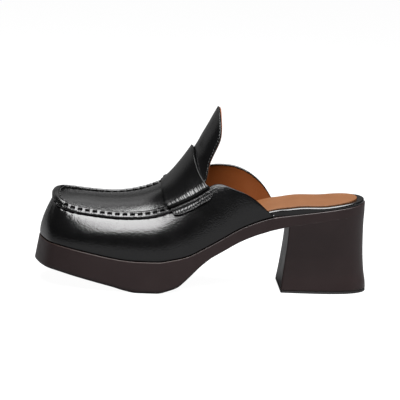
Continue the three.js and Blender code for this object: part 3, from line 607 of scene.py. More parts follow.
def makeFinish(name, look):
    material = bpy.data.materials.new(name)
    material.use_nodes = True
    tree = material.node_tree
    shader = tree.nodes["Principled BSDF"]
    grain = placeGroup(tree, "grain", {"Cell Size": look["cell"], "Fine": look["fine"]})
    wearAndHighlight = placeGroup(tree, "wearAndHighlight", {"Amount": look["wearAndHighlight"]})
    creases = placeGroup(tree, "creases", {"Pitch": look["creasePitch"], "Length": look["creaseLength"]})
    shade_and_edge_paint = addNode(tree, "Attribute", attribute_name="shade_and_edge_paint").outputs["Fac"]
    spread = addNode(tree, "MapRange")
    spread.inputs["From Min"].default_value = 0.3
    spread.inputs["From Max"].default_value = 0.7
    tree.links.new(grain["Variation"], spread.inputs["Value"])
    colour = blendColour(tree, spread.outputs[0], look["colour"], look["second"])
    colour = blendColour(tree, wearAndHighlight["Mask"], colour, look["wornAndLitEdge"])
    # Painted shade: where the mesh marks pits, grooves, creases and the feather line the colour is darkened,
    # and black-painted rims are darkened too
    colour = blendColour(tree, shade_and_edge_paint, colour, tuple(look["shadeShare"] * part for part in look["colour"]))
    tree.links.new(colour, shader.inputs["Base Color"])
    rough = maths(tree, "MULTIPLY_ADD", spread.outputs[0], look["smudge"], look["roughness"])
    tree.links.new(rough, shader.inputs["Roughness"])
    # Painted shade: a near-black metal shows no gloss, so that pits, grooves and creases stay dark as if
    # shaded, and painted rims stay dark
    tree.links.new(shade_and_edge_paint, shader.inputs["Metallic"])
    height = maths(tree, "MULTIPLY", grain["Height"], look["grainDepth"])
    height = maths(tree, "ADD", height, maths(tree, "MULTIPLY", creases["Height"], look["creaseDepth"]))
    if "brush" in look:
        streaks = noise(tree, surfacePoint(tree, look["brush"]), scale=1, detail=4, roughness=0.6)
        height = maths(tree, "ADD", height, maths(tree, "MULTIPLY", streaks, look["brushDepth"]))
    relief = addNode(tree, "Bump")
    relief.inputs["Distance"].default_value = look["relief"]
    tree.links.new(height, relief.inputs["Height"])
    tree.links.new(relief.outputs[0], shader.inputs["Normal"])
    shader.inputs["Specular IOR Level"].default_value = look["specular"]
    return material


blackLook = {
    "colour": (0.00154, 0.00154, 0.00162),
    "second": (0.00246, 0.00246, 0.00262),
    "wornAndLitEdge": (0.0154, 0.0154, 0.0158),
    "shadeShare": 0.15,  # share of the colour left where shade is painted in pits, grooves and creases, and on black-painted rims
    "roughness": 0.165,
    "smudge": 0.05,
    "wearAndHighlight": 0.1,
    "cell": 0.0011,
    "fine": 0.35,
    "grainDepth": 1.0,
    "creasePitch": 0.0011,
    "creaseLength": 0.009,
    "creaseDepth": 7.0,
    "relief": 0.00008,
    "specular": 0.6,
}
rimLook = {**blackLook, "roughness": 0.12, "relief": 0.00003, "wearAndHighlight": 0.05}
threadLook = {
    **blackLook,
    "colour": (0.0144, 0.0144, 0.0144),
    "second": (0.024, 0.024, 0.024),
    "roughness": 0.45,
    "cell": 0.0005,
}
tanLook = {
    **blackLook,
    "colour": (0.108, 0.0265, 0.0036),
    "second": (0.122, 0.032, 0.0052),
    "wornAndLitEdge": (0.0403, 0.0116, 0.00404),
    "roughness": 0.42,
    "smudge": 0.12,
    "wearAndHighlight": 0.6,
    "cell": 0.0006,
    "fine": 0.6,
    "relief": 0.00004,
    "specular": 0.25,
}
sockLook = {
    **tanLook,
    "colour": (0.095, 0.036, 0.0115),
    "second": (0.108, 0.0425, 0.0145),
    "relief": 0.00003,
    "specular": 0.2,
}
soleLook = {
    **blackLook,
    "colour": (0.0122, 0.0064, 0.0064),
    "second": (0.0144, 0.0078, 0.0078),
    # on the sole the lighter edge colour is partly wear and partly a painted highlight along the top edge's
    # round
    "wornAndLitEdge": (0.0563, 0.0352, 0.0262),
    "roughness": 0.36,
    "smudge": 0.08,
    "wearAndHighlight": 0.8,
    "fine": 0.8,
    "grainDepth": 0.5,
    "relief": 0.00003,
    "brush": (60, 60, 9),
    "brushDepth": 1.5,
    "specular": 0.4,
}
rubberLook = {**blackLook, "colour": (0.006, 0.0054, 0.0054), "roughness": 0.6, "cell": 0.0015}

blackLeather = makeFinish("black_leather", blackLook)
rimLeather = makeFinish("black_rim_leather", rimLook)
threadFinish = makeFinish("waxed_thread", threadLook)
tanLining = makeFinish("tan_lining", tanLook)
tanSock = makeFinish("tan_sock_leather", sockLook)
solePaint = makeFinish("brown_sole_paint", soleLook)
rubber = makeFinish("black_rubber", rubberLook)
print("finishes ready")

# Placing and sewing

stitchShare = 0.62  # of the pitch that a tab's or tongue's stitch covers


def place(piece, slotName, *nodes):  # nodes: the solids that this piece stands for
    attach(piece, "root")
    if nodes:
        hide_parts(*nodes)


def stitchLine(path, normals, pitch):  # starts, ends and normals of stitches along a path
    run = np.concatenate([[0], np.cumsum(size(np.diff(path, axis=0)))])
    count = max(1, int(round(run[-1] / pitch)))
    step = run[-1] / count
    centres = (np.arange(count) + 0.5) * step
    half = step * stitchShare / 2

    def at(values, where):
        return np.stack([np.interp(where, run, values[:, k]) for k in range(3)], -1)

    return at(path, centres - half), at(path, centres + half), unit(at(normals, centres))


def sew(name, starts, ends, normals, thread):  # short arched capsules, one for each stitch
    rings, sides = 9, 8
    t = np.linspace(-1, 1, rings)
    angle = np.linspace(0, 2 * np.pi, sides, endpoint=False)
    middle, half = (starts + ends) / 2, (ends - starts) / 2
    across = unit(np.cross(half, normals))
    upward = unit(np.cross(across, half))
    centre = middle[:, None] + half[:, None] * t[None, :, None]
    centre = centre + normals[:, None] * (thread["arch"] * (1 - t**2) - thread["sink"])[None, :, None]
    radius = thread["radius"] * np.sqrt(np.maximum(0.02, 1 - np.abs(t) ** 4))
    ring = across[:, None, None] * np.cos(angle)[None, None, :, None]
    ring = ring + upward[:, None, None] * np.sin(angle)[None, None, :, None]
    points = centre[:, :, None] + ring * radius[None, :, None, None]
    ids = np.arange(len(starts) * rings * sides).reshape(-1, rings, sides)
    following = np.roll(ids, -1, axis=2)
    sideFaces = np.stack([ids[:, :-1], following[:, :-1], following[:, 1:], ids[:, 1:]], -1).reshape(-1, 4)
    mesh = bpy.data.meshes.new(name)
    faces = sideFaces.tolist() + ids[:, 0, ::-1].tolist() + ids[:, -1].tolist()
    mesh.from_pydata((points.reshape(-1, 3) * metre).tolist(), [], faces)
    place(linkPiece(name, mesh, [threadFinish]), "upper_leather")

# Upper: one skin from the feather line over both sides, the toe and the apron

upperLeather = {
    "wall": 2.0,
    "topRound": 0.6,
    "foldedEdge": 1.3,  # black leather turned over the top line, on the inside
    "featherTuck": 0.55,
    "seamCrease": 0.5,
    "apronCrease": 0.4,
    "puckerDepth": 0.12,
    "puckerReach": 2.2,
    "cornerPucker": 1.3,  # how much deeper the puckers are round the toe's corners
    "cornerRib": 2.4,
    "leanIn": 1.6,  # the wing's top line leans in just behind the strap
    "leanRib": 11.4,
    "strapFolds": 1.5,
    "foldRib": 11.2,
}
seam = {
    "width": 6.4,
    "height": 2.6,  # above the leather beside it
    "pitch": 5.6,
    "toeRow": -0.7,  # where the stitch pits stand across the seam: round the toe, then at the sides
    "sideRow": -0.22,
    "lipShare": 0.5,
    "farFall": 0.05,
    "pitDepth": 1.7,
    "pitShare": 0.68,  # of the pitch
    "channel": 0.2,
    "slotDepth": 1.3,
    "slotsAt": (0.92, 0.5),
    "dashDepth": 0.9,
    "dashShare": 0.35,
    "dashAt": 0.86,
    "rowStep": 0.34,
    "threads": [  # name, place across the seam or None for the pits' row, height, half length, radius
        ("seam_thread", None, 0.5, 0.29, 0.36),
        ("apron_thread", 0.985, 1.3, 0.26, 0.3),
    ],
}
seamHalf = seam["width"] / 2


def besideSeam(u, across):  # across: -1 on the wall's edge of the seam band, 1 on the apron's
    u, across = np.broadcast_arrays(np.asarray(u, float), np.asarray(across, float))
    _, _, shoulder, head = wallRib(u)
    edge, low = archRib(u)[:2]
    reach = seamHalf * np.abs(across)
    onWall = wallPoint(u, 1 - reach / (3 * size(shoulder - head)))
    onArch = archPoint(u, reach / (3 * size(low - edge)))
    return np.where((across <= 0)[..., None], onWall, onArch)


finelyAlong = np.linspace(-12, 12, 4801)  # ribs at which the run along the seam is worked out
seamRunTable = np.concatenate([[0], np.cumsum(size(np.diff(topEdge(finelyAlong), axis=0)))])
seamRunTable -= np.interp(0, finelyAlong, seamRunTable)
seamLength = 2 * np.interp(seamEndRib, finelyAlong, seamRunTable)
stitchCount = 2 * int(round(seamLength / seam["pitch"] / 2))
stitchPitch = seamLength / stitchCount


def seamRun(u):
    return np.interp(u, finelyAlong, seamRunTable)


def stitchWave(run, share):  # 1 in the middle of each stitch, 0 between stitches
    wave = np.cos(2 * np.pi * (run / stitchPitch - 0.5))
    return ease((wave - (1 - 2 * share)) / 0.9)


def underSeamAt(ribs):  # 1 along the seam, 0 behind it
    return 1 - ease((np.abs(ribs) - seamCoverRib) / 0.4)


def makeUpper():
    look = upperLeather
    ribs = ribSpread(wingRib, perRib=9, perToeRib=22)[:, None]
    nearTop = 1 - 0.1 * np.linspace(1, 0, 12) ** 1.6  # rows stand closer below the top edge
    shares = np.concatenate([np.linspace(0, 0.9, 38)[:-1], nearTop])[None, :]
    wall = wallPoint(ribs, shares)
    run = runsOf(wall)
    fromFoot = run[..., 1]
    fromTop = fromFoot[:, -1:] - fromFoot
    rib = np.abs(ribs)
    free = ease((rib - bareRimRib) / 0.35)
    fall = rounded(fromTop, look["topRound"]) * free
    underSeam = underSeamAt(ribs)
    beside = np.clip(fromTop - seamHalf, 0, None)
    pucker = np.cos(2 * np.pi * seamRun(ribs) / stitchPitch) * np.exp(-beside / look["puckerReach"])
    atCorner = 1 + look["cornerPucker"] * bump(rib, look["cornerRib"], 1.1)
    lift = underSeam * look["puckerDepth"] * atCorner * pucker
    lift = lift - underSeam * look["seamCrease"] * bump(fromTop, seamHalf + 0.25, 0.5)
    lift = lift - look["featherTuck"] * bump(fromFoot, 0, 0.9)
    lean = look["leanIn"] * np.exp(-fromTop / 3) * bump(rib, look["leanRib"], 1.3)
    folds = look["strapFolds"] * np.exp(-fromTop / 5) * bump(rib, look["foldRib"], 1.0)
    seamShade = underSeam * bump(fromTop, seamHalf, 0.55)
    fromRim = fromTop * free + 50 * (1 - free)  # far from any rim where the seam covers the edge
    wallGrid = {
        "point": wall,
        "run": run,
        "outside": lift - lean - fall,
        "inside": -look["wall"] - lean + fall,
        "level": (shares == 0) * np.ones_like(ribs),
        "edge": free * bump(fromTop, 0, 0.7),
        "crease": 0.12 * underSeam * np.exp(-beside / 3) + folds,
        # painted shade along the seam's foot and a painted shadow line at the feather; the bare top rim is
        # darkened so it shows no gloss
        "shade_and_edge_paint": seamShade + 0.7 * bump(fromFoot, 0, 0.7) + 0.95 * free * bump(fromTop, 0, 0.8),
        "innerSlot": np.where(fromRim[:-1, 1:] < look["foldedEdge"], 0, 1),
    }
    apronRibs = ribs[np.abs(ribs[:, 0]) <= throatRib]
    across = np.concatenate([np.linspace(0, 0.2, 14)[:-1], np.linspace(0.2, 1, 20)])[None, :]
    apron = archPoint(apronRibs, across)
    apron = apron + (topEdge(apronRibs) - archEdge(apronRibs)) * ((1 - across) ** 3)[..., None]
    run = runsOf(apron)
    fromSeam = run[..., 1]
    underSeam = underSeamAt(apronRibs)
    apronGrid = {
        "point": apron,
        "run": run,
        "outside": -look["apronCrease"] * underSeam * bump(fromSeam, seamHalf + 0.2, 0.45),
        "inside": -look["wall"] * np.ones_like(fromSeam),
        # painted shade in the crease beside the seam
        "shade_and_edge_paint": underSeam * bump(fromSeam, seamHalf, 0.45),
        "innerSlot": 1,
    }
    piece = shellPiece("upper_leather_shell", [wallGrid, apronGrid], [blackLeather, tanLining])
    place(piece, "upper_leather", "upper")


makeUpper()
print("upper ready")

# Apron seam: a pinched ridge with a row of stitch pits on its outer flank and dashes on the apron side

def towardsSide(ribs):  # 0 round the toe, 1 along the sides
    return ease((np.abs(ribs) - 1) / 2)


def makeSeam():
    runs = np.linspace(-seamLength / 2, seamLength / 2, int(seamLength / seam["rowStep"]))
    ribs = np.interp(runs, seamRunTable, finelyAlong)[:, None]
    across = np.sin(np.linspace(-np.pi / 2, np.pi / 2, 41))[None, :]
    point = besideSeam(ribs, across)
    normals = gridNormals(point)
    onSide = towardsSide(ribs)
    pitAt = mix(seam["toeRow"], seam["sideRow"], onSide)
    pitWide = mix(0.16, 0.26, onSide)
    body = mix(seam["lipShare"], 1, ease((across + 1) / 1.4)) * (1 - np.abs(across) ** 7) ** 0.5
    body = body * (1 - seam["farFall"] * ease((across - 0.25) / 0.75))
    pit = stitchWave(runs, seam["pitShare"])[:, None] * np.exp(-(((across - pitAt) / pitWide) ** 4))
    channel = bump(across, pitAt, pitWide * 1.2)
    outerSlot, innerSlot = (bump(across, at, wide) for at, wide in zip(seam["slotsAt"], (0.12, 0.1)))
    slot = mix(0.3, 1, onSide) * outerSlot + onSide * innerSlot
    dash = stitchWave(runs + stitchPitch / 2, seam["dashShare"])[:, None] * bump(across, seam["dashAt"], 0.12)
    fine = 0.05 * np.sin(runs * 5.1 + 2 * np.sin(runs * 1.3))[:, None] * np.abs(across)
    endFall = rounded(seamLength / 2 - np.abs(runs), 1.2)[:, None]
    outside = 0.05 + seam["height"] * body - seam["channel"] * channel - seam["slotDepth"] * slot
    outside = outside - mix(0.55, 1, onSide) * seam["pitDepth"] * pit - seam["dashDepth"] * dash + fine * body
    grid = {
        "point": point,
        "run": runsOf(point),
        "outside": np.maximum(0.08, outside - endFall),
        "inside": -0.1 * np.ones_like(outside),
        # painted shade in the stitch pits, the dashes and the slots
        "shade_and_edge_paint": np.clip(1.1 * pit + 0.3 * dash + 1.1 * slot, 0, 1),
        "edge": 0.25 * bump(across, 0.6, 0.15) * (1 - pit),
        "crease": 0.5,
    }
    place(shellPiece("apron_seam_ridge", [grid], [blackLeather]), "upper_leather", "apron_seam")

    def onSeam(where, at, height):
        column = np.argmin(np.abs(across[0] - np.mean(at)))
        normal = unit(np.stack([np.interp(where, runs, normals[:, column, k]) for k in range(3)], -1))
        return besideSeam(np.interp(where, seamRunTable, finelyAlong), at) + normal * height, normal

    centres = (np.arange(stitchCount) + 0.5) * stitchPitch - seamLength / 2
    pitRow = mix(seam["toeRow"], seam["sideRow"], towardsSide(np.interp(centres, seamRunTable, finelyAlong)))
    for name, at, height, reach, radius in seam["threads"]:
        row = pitRow if at is None else np.full(stitchCount, at)
        starts, normal = onSeam(centres - reach * stitchPitch, row, height)
        ends, _ = onSeam(centres + reach * stitchPitch, row, height)
        sew(name, starts, ends, normal, {"radius": radius, "arch": 0.1, "sink": 0})


makeSeam()
print("apron seam ready, stitches:", 2 * stitchCount)

# Saddle strap: over the arch, down over the seam's ridge, pinched below it and ending in a stitched tab

strap = {
    "thickness": 1.8,
    "clearance": 0.45,
    "tabReach": 0.24,  # down the wall, as a share of a rib
    "paddedRear": 0.45,
    "edgeRound": 0.4,
    "corner": 2.4,
    "grooveDepth": 1.75,
    "grooveWidth": 1.35,
    "rollWidth": 3.4,
    "wrinkle": 0.26,
    "stitchInset": 2.1,
    "stitchPitch": 2.6,
    "columns": 93,
    "samples": 1200,  # along the strap, for bending its rows
    "thread": {"radius": 0.24, "arch": 0.16, "sink": 0.02},
}
# over: 0 the wall, 1 the seam, 2 the arch; share: down the tab, across the seam, up the arch;
# then the strap's front and rear edge as ribs
strapRows = [
    (0, 1, 9.1, 11.02), (0, 0.84, 8.92, 11.17), (0, 0.55, 8.82, 11.22), (0, 0.25, 8.76, 11.16),
    (1, -1, 8.68, 11.06), (1, -0.5, 8.6, 10.98), (1, 0, 8.56, 10.94), (1, 0.5, 8.54, 10.92),
    (1, 1, 8.53, 10.92), (2, 0.21, 8.54, 10.93), (2, 0.33, 8.57, 10.94), (2, 0.47, 8.62, 10.96),
    (2, 0.63, 8.7, 10.98), (2, 0.81, 8.79, 11), (2, 1, 8.85, 11),
]


def strapStation(over, share, u):
    if over == 1:
        return besideSeam(u, share)
    if over == 2:
        return archPoint(u, np.full_like(u, share))
    _, _, shoulder, head = wallRib(u)
    seamEdge = seamHalf / (3 * size(shoulder - head))
    return wallPoint(u, 1 - mix(seamEdge, strap["tabReach"], share))


def makeStrap():
    look = strap
    even = np.linspace(0, 1, look["columns"])
    across = mix((1 - np.cos(np.linspace(0, np.pi, look["columns"]))) / 2, even, 0.6)
    points, insides, outsides = [], [], []
    rows = [(-1, row) for row in strapRows] + [(1, row) for row in strapRows[-2::-1]]
    for sign, (over, share, front, rear) in rows:
        rib = mix(front, rear, across)
        points.append(strapStation(over, share, sign * rib))
        lift = 0
        if over == 1:
            lift = seam["height"] * math.sqrt(max(0, 1 - (share / 1.35) ** 2))
        onSeam = 1 - ease((rib - seamEndRib) / 1.1)
        insides.append(look["clearance"] + lift * onSeam)
        outsides.append(look["clearance"] + look["thickness"] + lift * mix(look["paddedRear"], 1, onSeam))
    points, insides, outsides = np.array(points), np.array(insides), np.array(outsides)
    knots = np.concatenate([[0], np.cumsum(size(np.diff(points, axis=0)).mean(1))])
    total = knots[-1]
    finer = 2  # reach of the closer rows at each end
    fine = np.concatenate([
        np.linspace(0, finer, 12)[:-1],
        np.linspace(finer, total - finer, 230),
        np.linspace(total - finer, total, 12)[1:],
    ])
    endWidth = distances(smoothCurve(points, knots)(fine[:1]), 1)[0]
    nearSide = np.minimum(endWidth, endWidth[-1] - endWidth)
    cut = look["corner"] - np.sqrt(look["corner"] ** 2 - np.clip(look["corner"] - nearSide, 0, None) ** 2)
    # Near the rounded corners each column starts later and ends sooner
    along = cut + (total - 2 * cut) * (fine / total)[:, None]

    def bend(rows):
        whole = smoothCurve(rows, knots)(np.linspace(0, total, look["samples"] + 1))
        where = along / total * look["samples"]
        low = np.clip(where.astype(int), 0, look["samples"] - 1)
        column = np.arange(len(across))[None, :]
        share = where - low
        if whole.ndim == 3:
            share = share[..., None]
        return mix(whole[low, column], whole[low + 1, column], share)

    point, inside, outside = bend(points), bend(insides), bend(outsides)
    run = runsOf(point)
    width = run[..., 1]
    behind = width[:, -1:] - width
    fromEnd = np.minimum(along, total - along)
    fromRim = np.minimum(fromEnd - cut, np.minimum(width, behind))
    seamFoot, seamCrest = knots[4], knots[6]  # the tab meets the seam's outer edge and is pinched there
    groove = bump(fromEnd, seamFoot + 1.3, look["grooveWidth"])
    roll = bump(fromEnd, seamCrest, look["rollWidth"])
    tab = 1 - ease((fromEnd - seamFoot + 0.2) / 1.5)
    # Cross wrinkles on the roll, then the crinkled tab with its slight swelling
    folds = np.sin(width * 2.9 + 1.5 * np.sin(width * 0.9)) + 0.6 * np.sin(width * 4.3 + fromEnd * 0.3 + 1)
    outside = outside - look["grooveDepth"] * groove + look["wrinkle"] * 0.7 * roll * folds
    crinkle = np.sin(fromEnd * 3.0 + width * 0.8 + 1.2 * np.sin(width * 0.6))
    crinkle = np.sin(width * 3.5 + fromEnd * 0.7) * crinkle
    outside = outside + look["wrinkle"] * 1.3 * tab * (1 - groove) * crinkle
    outside = outside + 0.35 * tab * bump(fromEnd, seamFoot * 0.45, 2.6)
    sewn = bump(fromRim, look["stitchInset"], 0.55) * tab
    outside = outside - 0.3 * sewn - rounded(fromRim, look["edgeRound"])
    grid = {
        "point": point,
        "run": run,
        "outside": outside,
        "inside": inside - 0.3 * groove,
        "edge": bump(fromRim, 0, 0.35) * (0.4 + 0.6 * bump(behind, 0, 1)),
        "crease": 0.7 * roll + 0.25 * tab,
        # painted shade in the groove below the roll; the rims get black edge paint, darkened further so they
        # show no gloss
        "shade_and_edge_paint": np.maximum(groove, 0.95 * bump(fromRim, 0, mix(1.2, 0.5, tab))),
    }
    place(shellPiece("saddle_strap_leather", [grid], [blackLeather]), "upper_leather", "saddle_strap")
    normals = gridNormals(point)
    surface = point + normals * outside[..., None]
    made = []
    for order in (slice(0, None), slice(None, None, -1)):  # from the outer end, then from the inner one
        runs = size(np.diff(point[order], axis=0)).mean(1).cumsum()
        low = int(np.searchsorted(runs, look["stitchInset"])) + 1
        high = int(np.searchsorted(runs, seamFoot - 2.2)) + 1
        line = width[order][low]
        left = int(np.searchsorted(line, look["stitchInset"]))
        right = int(np.searchsorted(line, line[-1] - look["stitchInset"]))
        cells = [(i, left) for i in range(high, low, -1)]
        cells += [(low, j) for j in range(left, right)]
        cells += [(i, right) for i in range(low, high)]
        i, j = np.array(cells).T
        made.append(stitchLine(surface[order][i, j], normals[order][i, j], look["stitchPitch"]))
    sew("tab_thread", *(np.concatenate(part) for part in zip(*made)), look["thread"])


makeStrap()
print("strap ready")

# Tongue: black leather over a tan lining, rising under the strap to its round tip

tongue = {
    "thickness": 2.2,
    "clearance": 0.25,
    "lining": 0.95,
    "edgeRound": 0.4,
    "stitchInset": 1.9,
    "stitchPitch": 2.4,
    "sewnDepth": 0.4,
    "tipShare": 0.985,
    "tipStart": 13.5,  # rib where the round tip begins
    "columns": 34,  # on each side of the ridge
    "thread": {"radius": 0.2, "arch": 0.14, "sink": 0.02},
}
# How far the tongue's sides are trimmed back from the arch's edge
tongueSides = columns("rib trim", [
    (10.06, 0.05), (11, 0.13), (12, 0.235), (13, 0.235), (14, 0.225), (15, 0.23),
])


def makeTongue():
    look = tongue
    trim = steadyCurve(tongueSides["rib"], tongueSides["trim"])
    tipStart = look["tipStart"]
    straight = np.linspace(tongueSides["rib"][0], tipStart, 70)[:-1]
    turned = mix(tipStart, tongueRib, 1 - np.linspace(1, 0, 44) ** 1.7)
    ribs = np.concatenate([straight, turned])[:, None]
    columnCount = look["columns"]
    half = np.linspace(0, 1, columnCount)
    sign = np.concatenate([np.ones(columnCount), -np.ones(columnCount - 1)])[None, :]
    shares = 1 - np.concatenate([1 - half, half[1:]])[None, :]
    shares = np.sin(shares * np.pi / 2) ** 1.15
    tip = np.clip((ribs - tipStart) / (tongueRib - tipStart), 0, 1)
    closing = mix(trim(ribs), 1, 1 - np.sqrt(1 - (look["tipShare"] * tip) ** 2))
    point = archPoint(sign * ribs, mix(closing, 1, shares))
    run = runsOf(point)
    across = run[..., 1]
    fromSide = np.minimum(across, across[:, -1:] - across)
    fromTip = distances(point[::-1], 0)[::-1]
    fromRim = np.minimum(fromSide, fromTip)
    fall = rounded(fromRim, look["edgeRound"])
    sewn = bump(fromRim, look["stitchInset"], 0.5)
    rimWave = 0.09 * np.sin(run[..., 0] * 2.7 + 1.3 * np.sin(run[..., 0] * 0.8)) * bump(fromRim, 1.2, 1.3)
    split = -look["clearance"] - look["thickness"] + look["lining"]
    leather = {
        "point": point,
        "run": run,
        "outside": -look["clearance"] - fall - look["sewnDepth"] * sewn + rimWave,
        "inside": split,
        "edge": bump(fromRim, 0, 0.4),
        "crease": 1.4 * bump(fromRim, 1.2, 1.4),
        # black edge paint on the rim, darkened further so it shows no gloss, which is painted shade
        "shade_and_edge_paint": 0.85 * bump(fromRim, 0, 0.45),
        "innerSlot": 1,
    }
    lining = {
        "point": point,
        "run": run,
        "outside": split - 0.02,
        "inside": split - look["lining"] + 0.5 * fall,
        "edge": bump(fromRim, 0, 0.5),
    }
    place(shellPiece("tongue_leather", [leather], [blackLeather, tanLining]), "upper_leather", "tongue")
    place(shellPiece("tongue_lining", [lining], [tanLining]), "sock_leather")
    normals = gridNormals(point)
    surface = point + normals * leather["outside"][..., None]
    inset = look["stitchInset"]
    left, right = [], []
    for i in range(30, len(ribs)):  # the first rows lie under the strap
        width = across[i, -1]
        if width > 2.6 * inset and fromTip[i].max() > inset:
            left.append((i, int(np.searchsorted(across[i], inset))))
            right.append((i, int(np.searchsorted(across[i], width - inset))))
    last = left[-1][0]
    over = [(last, j) for j in range(left[-1][1], right[-1][1])]
    i, j = np.array(left + over + right[::-1]).T
    sew("tongue_thread", *stitchLine(surface[i, j], normals[i, j], look["stitchPitch"]), look["thread"])


makeTongue()
print("tongue ready")

# Flat pieces under the foot: a section loop at each rib, from the toe to the back of the heel


def plank(shape, top, bottom, relief=None, edgeShare=lambda rib: 1 + 0 * rib):
    toeSpan, backSpan = 2.2, 3  # ribs with closer sections, at the toe and at the back
    ribs = np.unique(np.concatenate([
        toeSpan * np.linspace(0, 1, 40) ** 1.8,
        np.linspace(toeSpan, backRib - backSpan, 150),
        backRib - backSpan * np.linspace(1, 0, 50) ** 1.8,
    ]))[:, None]
    topRound, footRound = shape["topRound"], shape["footRound"](ribs)
    outTop, outFoot = shape["outTop"](ribs), shape["outFoot"](ribs)

    def side(sign):  # one side of each section, from its top edge to its foot
        turn = np.linspace(0, np.pi / 2, 6)[None, :]
        levels = np.linspace(0, 1, 14)[None, 1:-1]
        sine, cosine = 1 - np.sin(turn), 1 - np.cos(turn)
        parts = [  # top edge's round, flank, foot's round
            (outTop - topRound * sine, lambda high, low: high - topRound * cosine),
            (mix(outTop, outFoot, levels), lambda high, low: mix(high - topRound, low + footRound, levels)),
            (outFoot - footRound * cosine, lambda high, low: low + footRound * sine),
        ]
        points = []
        for out, height in parts:
            point = outline(sign * ribs + 0 * out, out)
            point[..., 2] = height(top(point[..., 0]), bottom(point[..., 0]))
            points.append(point)
        return np.concatenate(points, axis=1)

    outer, inner = side(-1), side(1)
    middle = np.linspace(0, 1, 32)[None, 1:-1, None]
    face = mix(outer[:, :1], inner[:, :1], middle)
    face[..., 2] = top(face[..., 0])
    if relief is not None:
        fade = ease(np.sin(np.pi * middle[..., 0]) * 3)
        face[..., 2] += relief(face[..., 0], face[..., 1]) * fade
    under = mix(inner[:, -1:], outer[:, -1:], middle)
    under[..., 2] = bottom(under[..., 0])
    section = np.concatenate([face, inner, under, outer[:, ::-1], face[:, :1]], axis=1)
    cut = face.shape[1]
    # where this mark lightens an edge, as on the platform, it is partly wear and partly a painted highlight
    wornAndLitEdge = np.zeros(section.shape[:2])  # strongest in the middle of the top edge's round, on both sides
    wornAndLitEdge[:, [cut + 2, -4]] = 1
    wornAndLitEdge[:, [cut + 1, cut + 3, -3, -5]] = 0.6
    return {"point": section, "run": runsOf(section), "edge": wornAndLitEdge * edgeShare(ribs)}


def toeSideWaist(toe, side, waist):
    return lambda rib: mix(mix(toe, side, ease((rib - 1) / 3)), waist, ease((rib - 9) / 3))


platform = {
    "topRound": 0.45,
    "toeFlare": 2.75,
    "sideFlare": 0.9,
    "toeRound": 1.0,
    "sideRound": 2.4,
    "waistRound": 0.5,
    "heelRound": 0.03,  # all but square where the heel block carries on
}


def makePlatform():
    look = platform
    footRound = toeSideWaist(look["toeRound"], look["sideRound"], look["waistRound"])
    shape = {
        "outTop": lambda rib: 0 * rib,
        "outFoot": toeSideWaist(look["toeFlare"], look["sideFlare"], 0),
        "topRound": look["topRound"],
        "footRound": lambda rib: mix(footRound(rib), look["heelRound"], ease((rib - breastRib + 0.3) / 0.5)),
    }
    # the lighter top edge, partly wear and partly a painted highlight, fades out along the arch
    section = plank(shape, soleTop, soleBottom, edgeShare=lambda rib: 1 - ease((rib - 9) / 3))
    place(skinPiece("platform_sole", [section], solePaint), "sole", "outsole")


board = {"thick": 4.8, "thin": 2.6, "edgeRound": 1.4, "rimLedge": 0.9, "wallClearance": 0.6}
# Along the shoe, 0 where the board is thin and 1 where it is thick
boardRows = columns("at thick", [(-0.49, 0), (-0.1, 0), (0.15, 1), (0.27, 1), (0.37, 0), (0.486, 0)])
boardThickness = mix(board["thin"], board["thick"], boardRows["thick"])
boardHeight = steadyCurve(boardRows["at"] * shoe["length"], boardThickness)


def boardTop(x):
    return soleTop(x) + gap + boardHeight(x)


def boardOut(rib):
    insideUpper = -(shoe["soleLedge"] + upperLeather["wall"] + board["wallClearance"])
    return mix(insideUpper, -board["rimLedge"], ease((rib - wingRib - 0.1) / 0.9))


def makeBoard():
    shape = {
        "outTop": boardOut,
        "outFoot": boardOut,
        "topRound": board["edgeRound"],
        "footRound": lambda rib: 0.3 + 0 * rib,
    }
    section = plank(shape, boardTop, lambda x: soleTop(x) + gap)
    place(skinPiece("wrapped_footbed", [section], rimLeather), "upper_leather", "footbed")


sock = {"thickness": 0.8, "border": 3.2, "backBorder": 5.4, "softness": 0.35}


def sockOut(rib):
    border = mix(sock["border"], sock["backBorder"], ease((rib - backRib + 5) / 4))
    return boardOut(rib) - mix(board["edgeRound"] + 0.1, border, ease((rib - wingRib + 0.5) / 1.2))


def makeSock():
    shape = {"outTop": sockOut, "outFoot": sockOut, "topRound": 0.4, "footRound": lambda rib: 0.1 + 0 * rib}

    def relief(x, y):  # where a heel and the ball would press
        heel = np.exp(-(((x - 78) / 30) ** 2) - (y / 20) ** 2)
        ball = np.exp(-(((x + 48) / 32) ** 2) - (y / 34) ** 2)
        return -sock["softness"] * (heel + ball)

    def under(x):
        return boardTop(x) + 0.05

    def over(x):
        return boardTop(x) + gap + sock["thickness"]

    section = plank(shape, over, under, relief)
    place(skinPiece("sock_lining", [section], tanSock), "sock_leather", "insole")


makePlatform()
makeBoard()
makeSock()
print("platform, footbed and sock ready")

# Heel block on a thin rubber top piece

heel = {
    "footWidth": 53,
    "liftHeight": 1.7,
    "cornerRound": 1.4,
    "edgeRound": 0.35,
    "skew": 2.6,  # how much further forward the breast's inner corner stands at the floor
    "seatGap": 0.03,  # under the platform
    "liftGap": 0.004,  # share of the height, over the top piece
}
# Up the heel: where its breast and its back stand along the shoe, and its width from foot to seat
heelRows = columns("height breastAt backAt wide", [
    (0, 0.2345, 0.5, 0), (0.1, 0.2365, 0.498, -0.12), (0.25, 0.239, 0.4915, -0.25),
    (0.45, 0.2425, 0.4865, -0.1), (0.65, 0.246, 0.484, 0.3), (0.85, 0.248, 0.483, 0.75),
    (1, 0.2485, 0.484, 1),
])


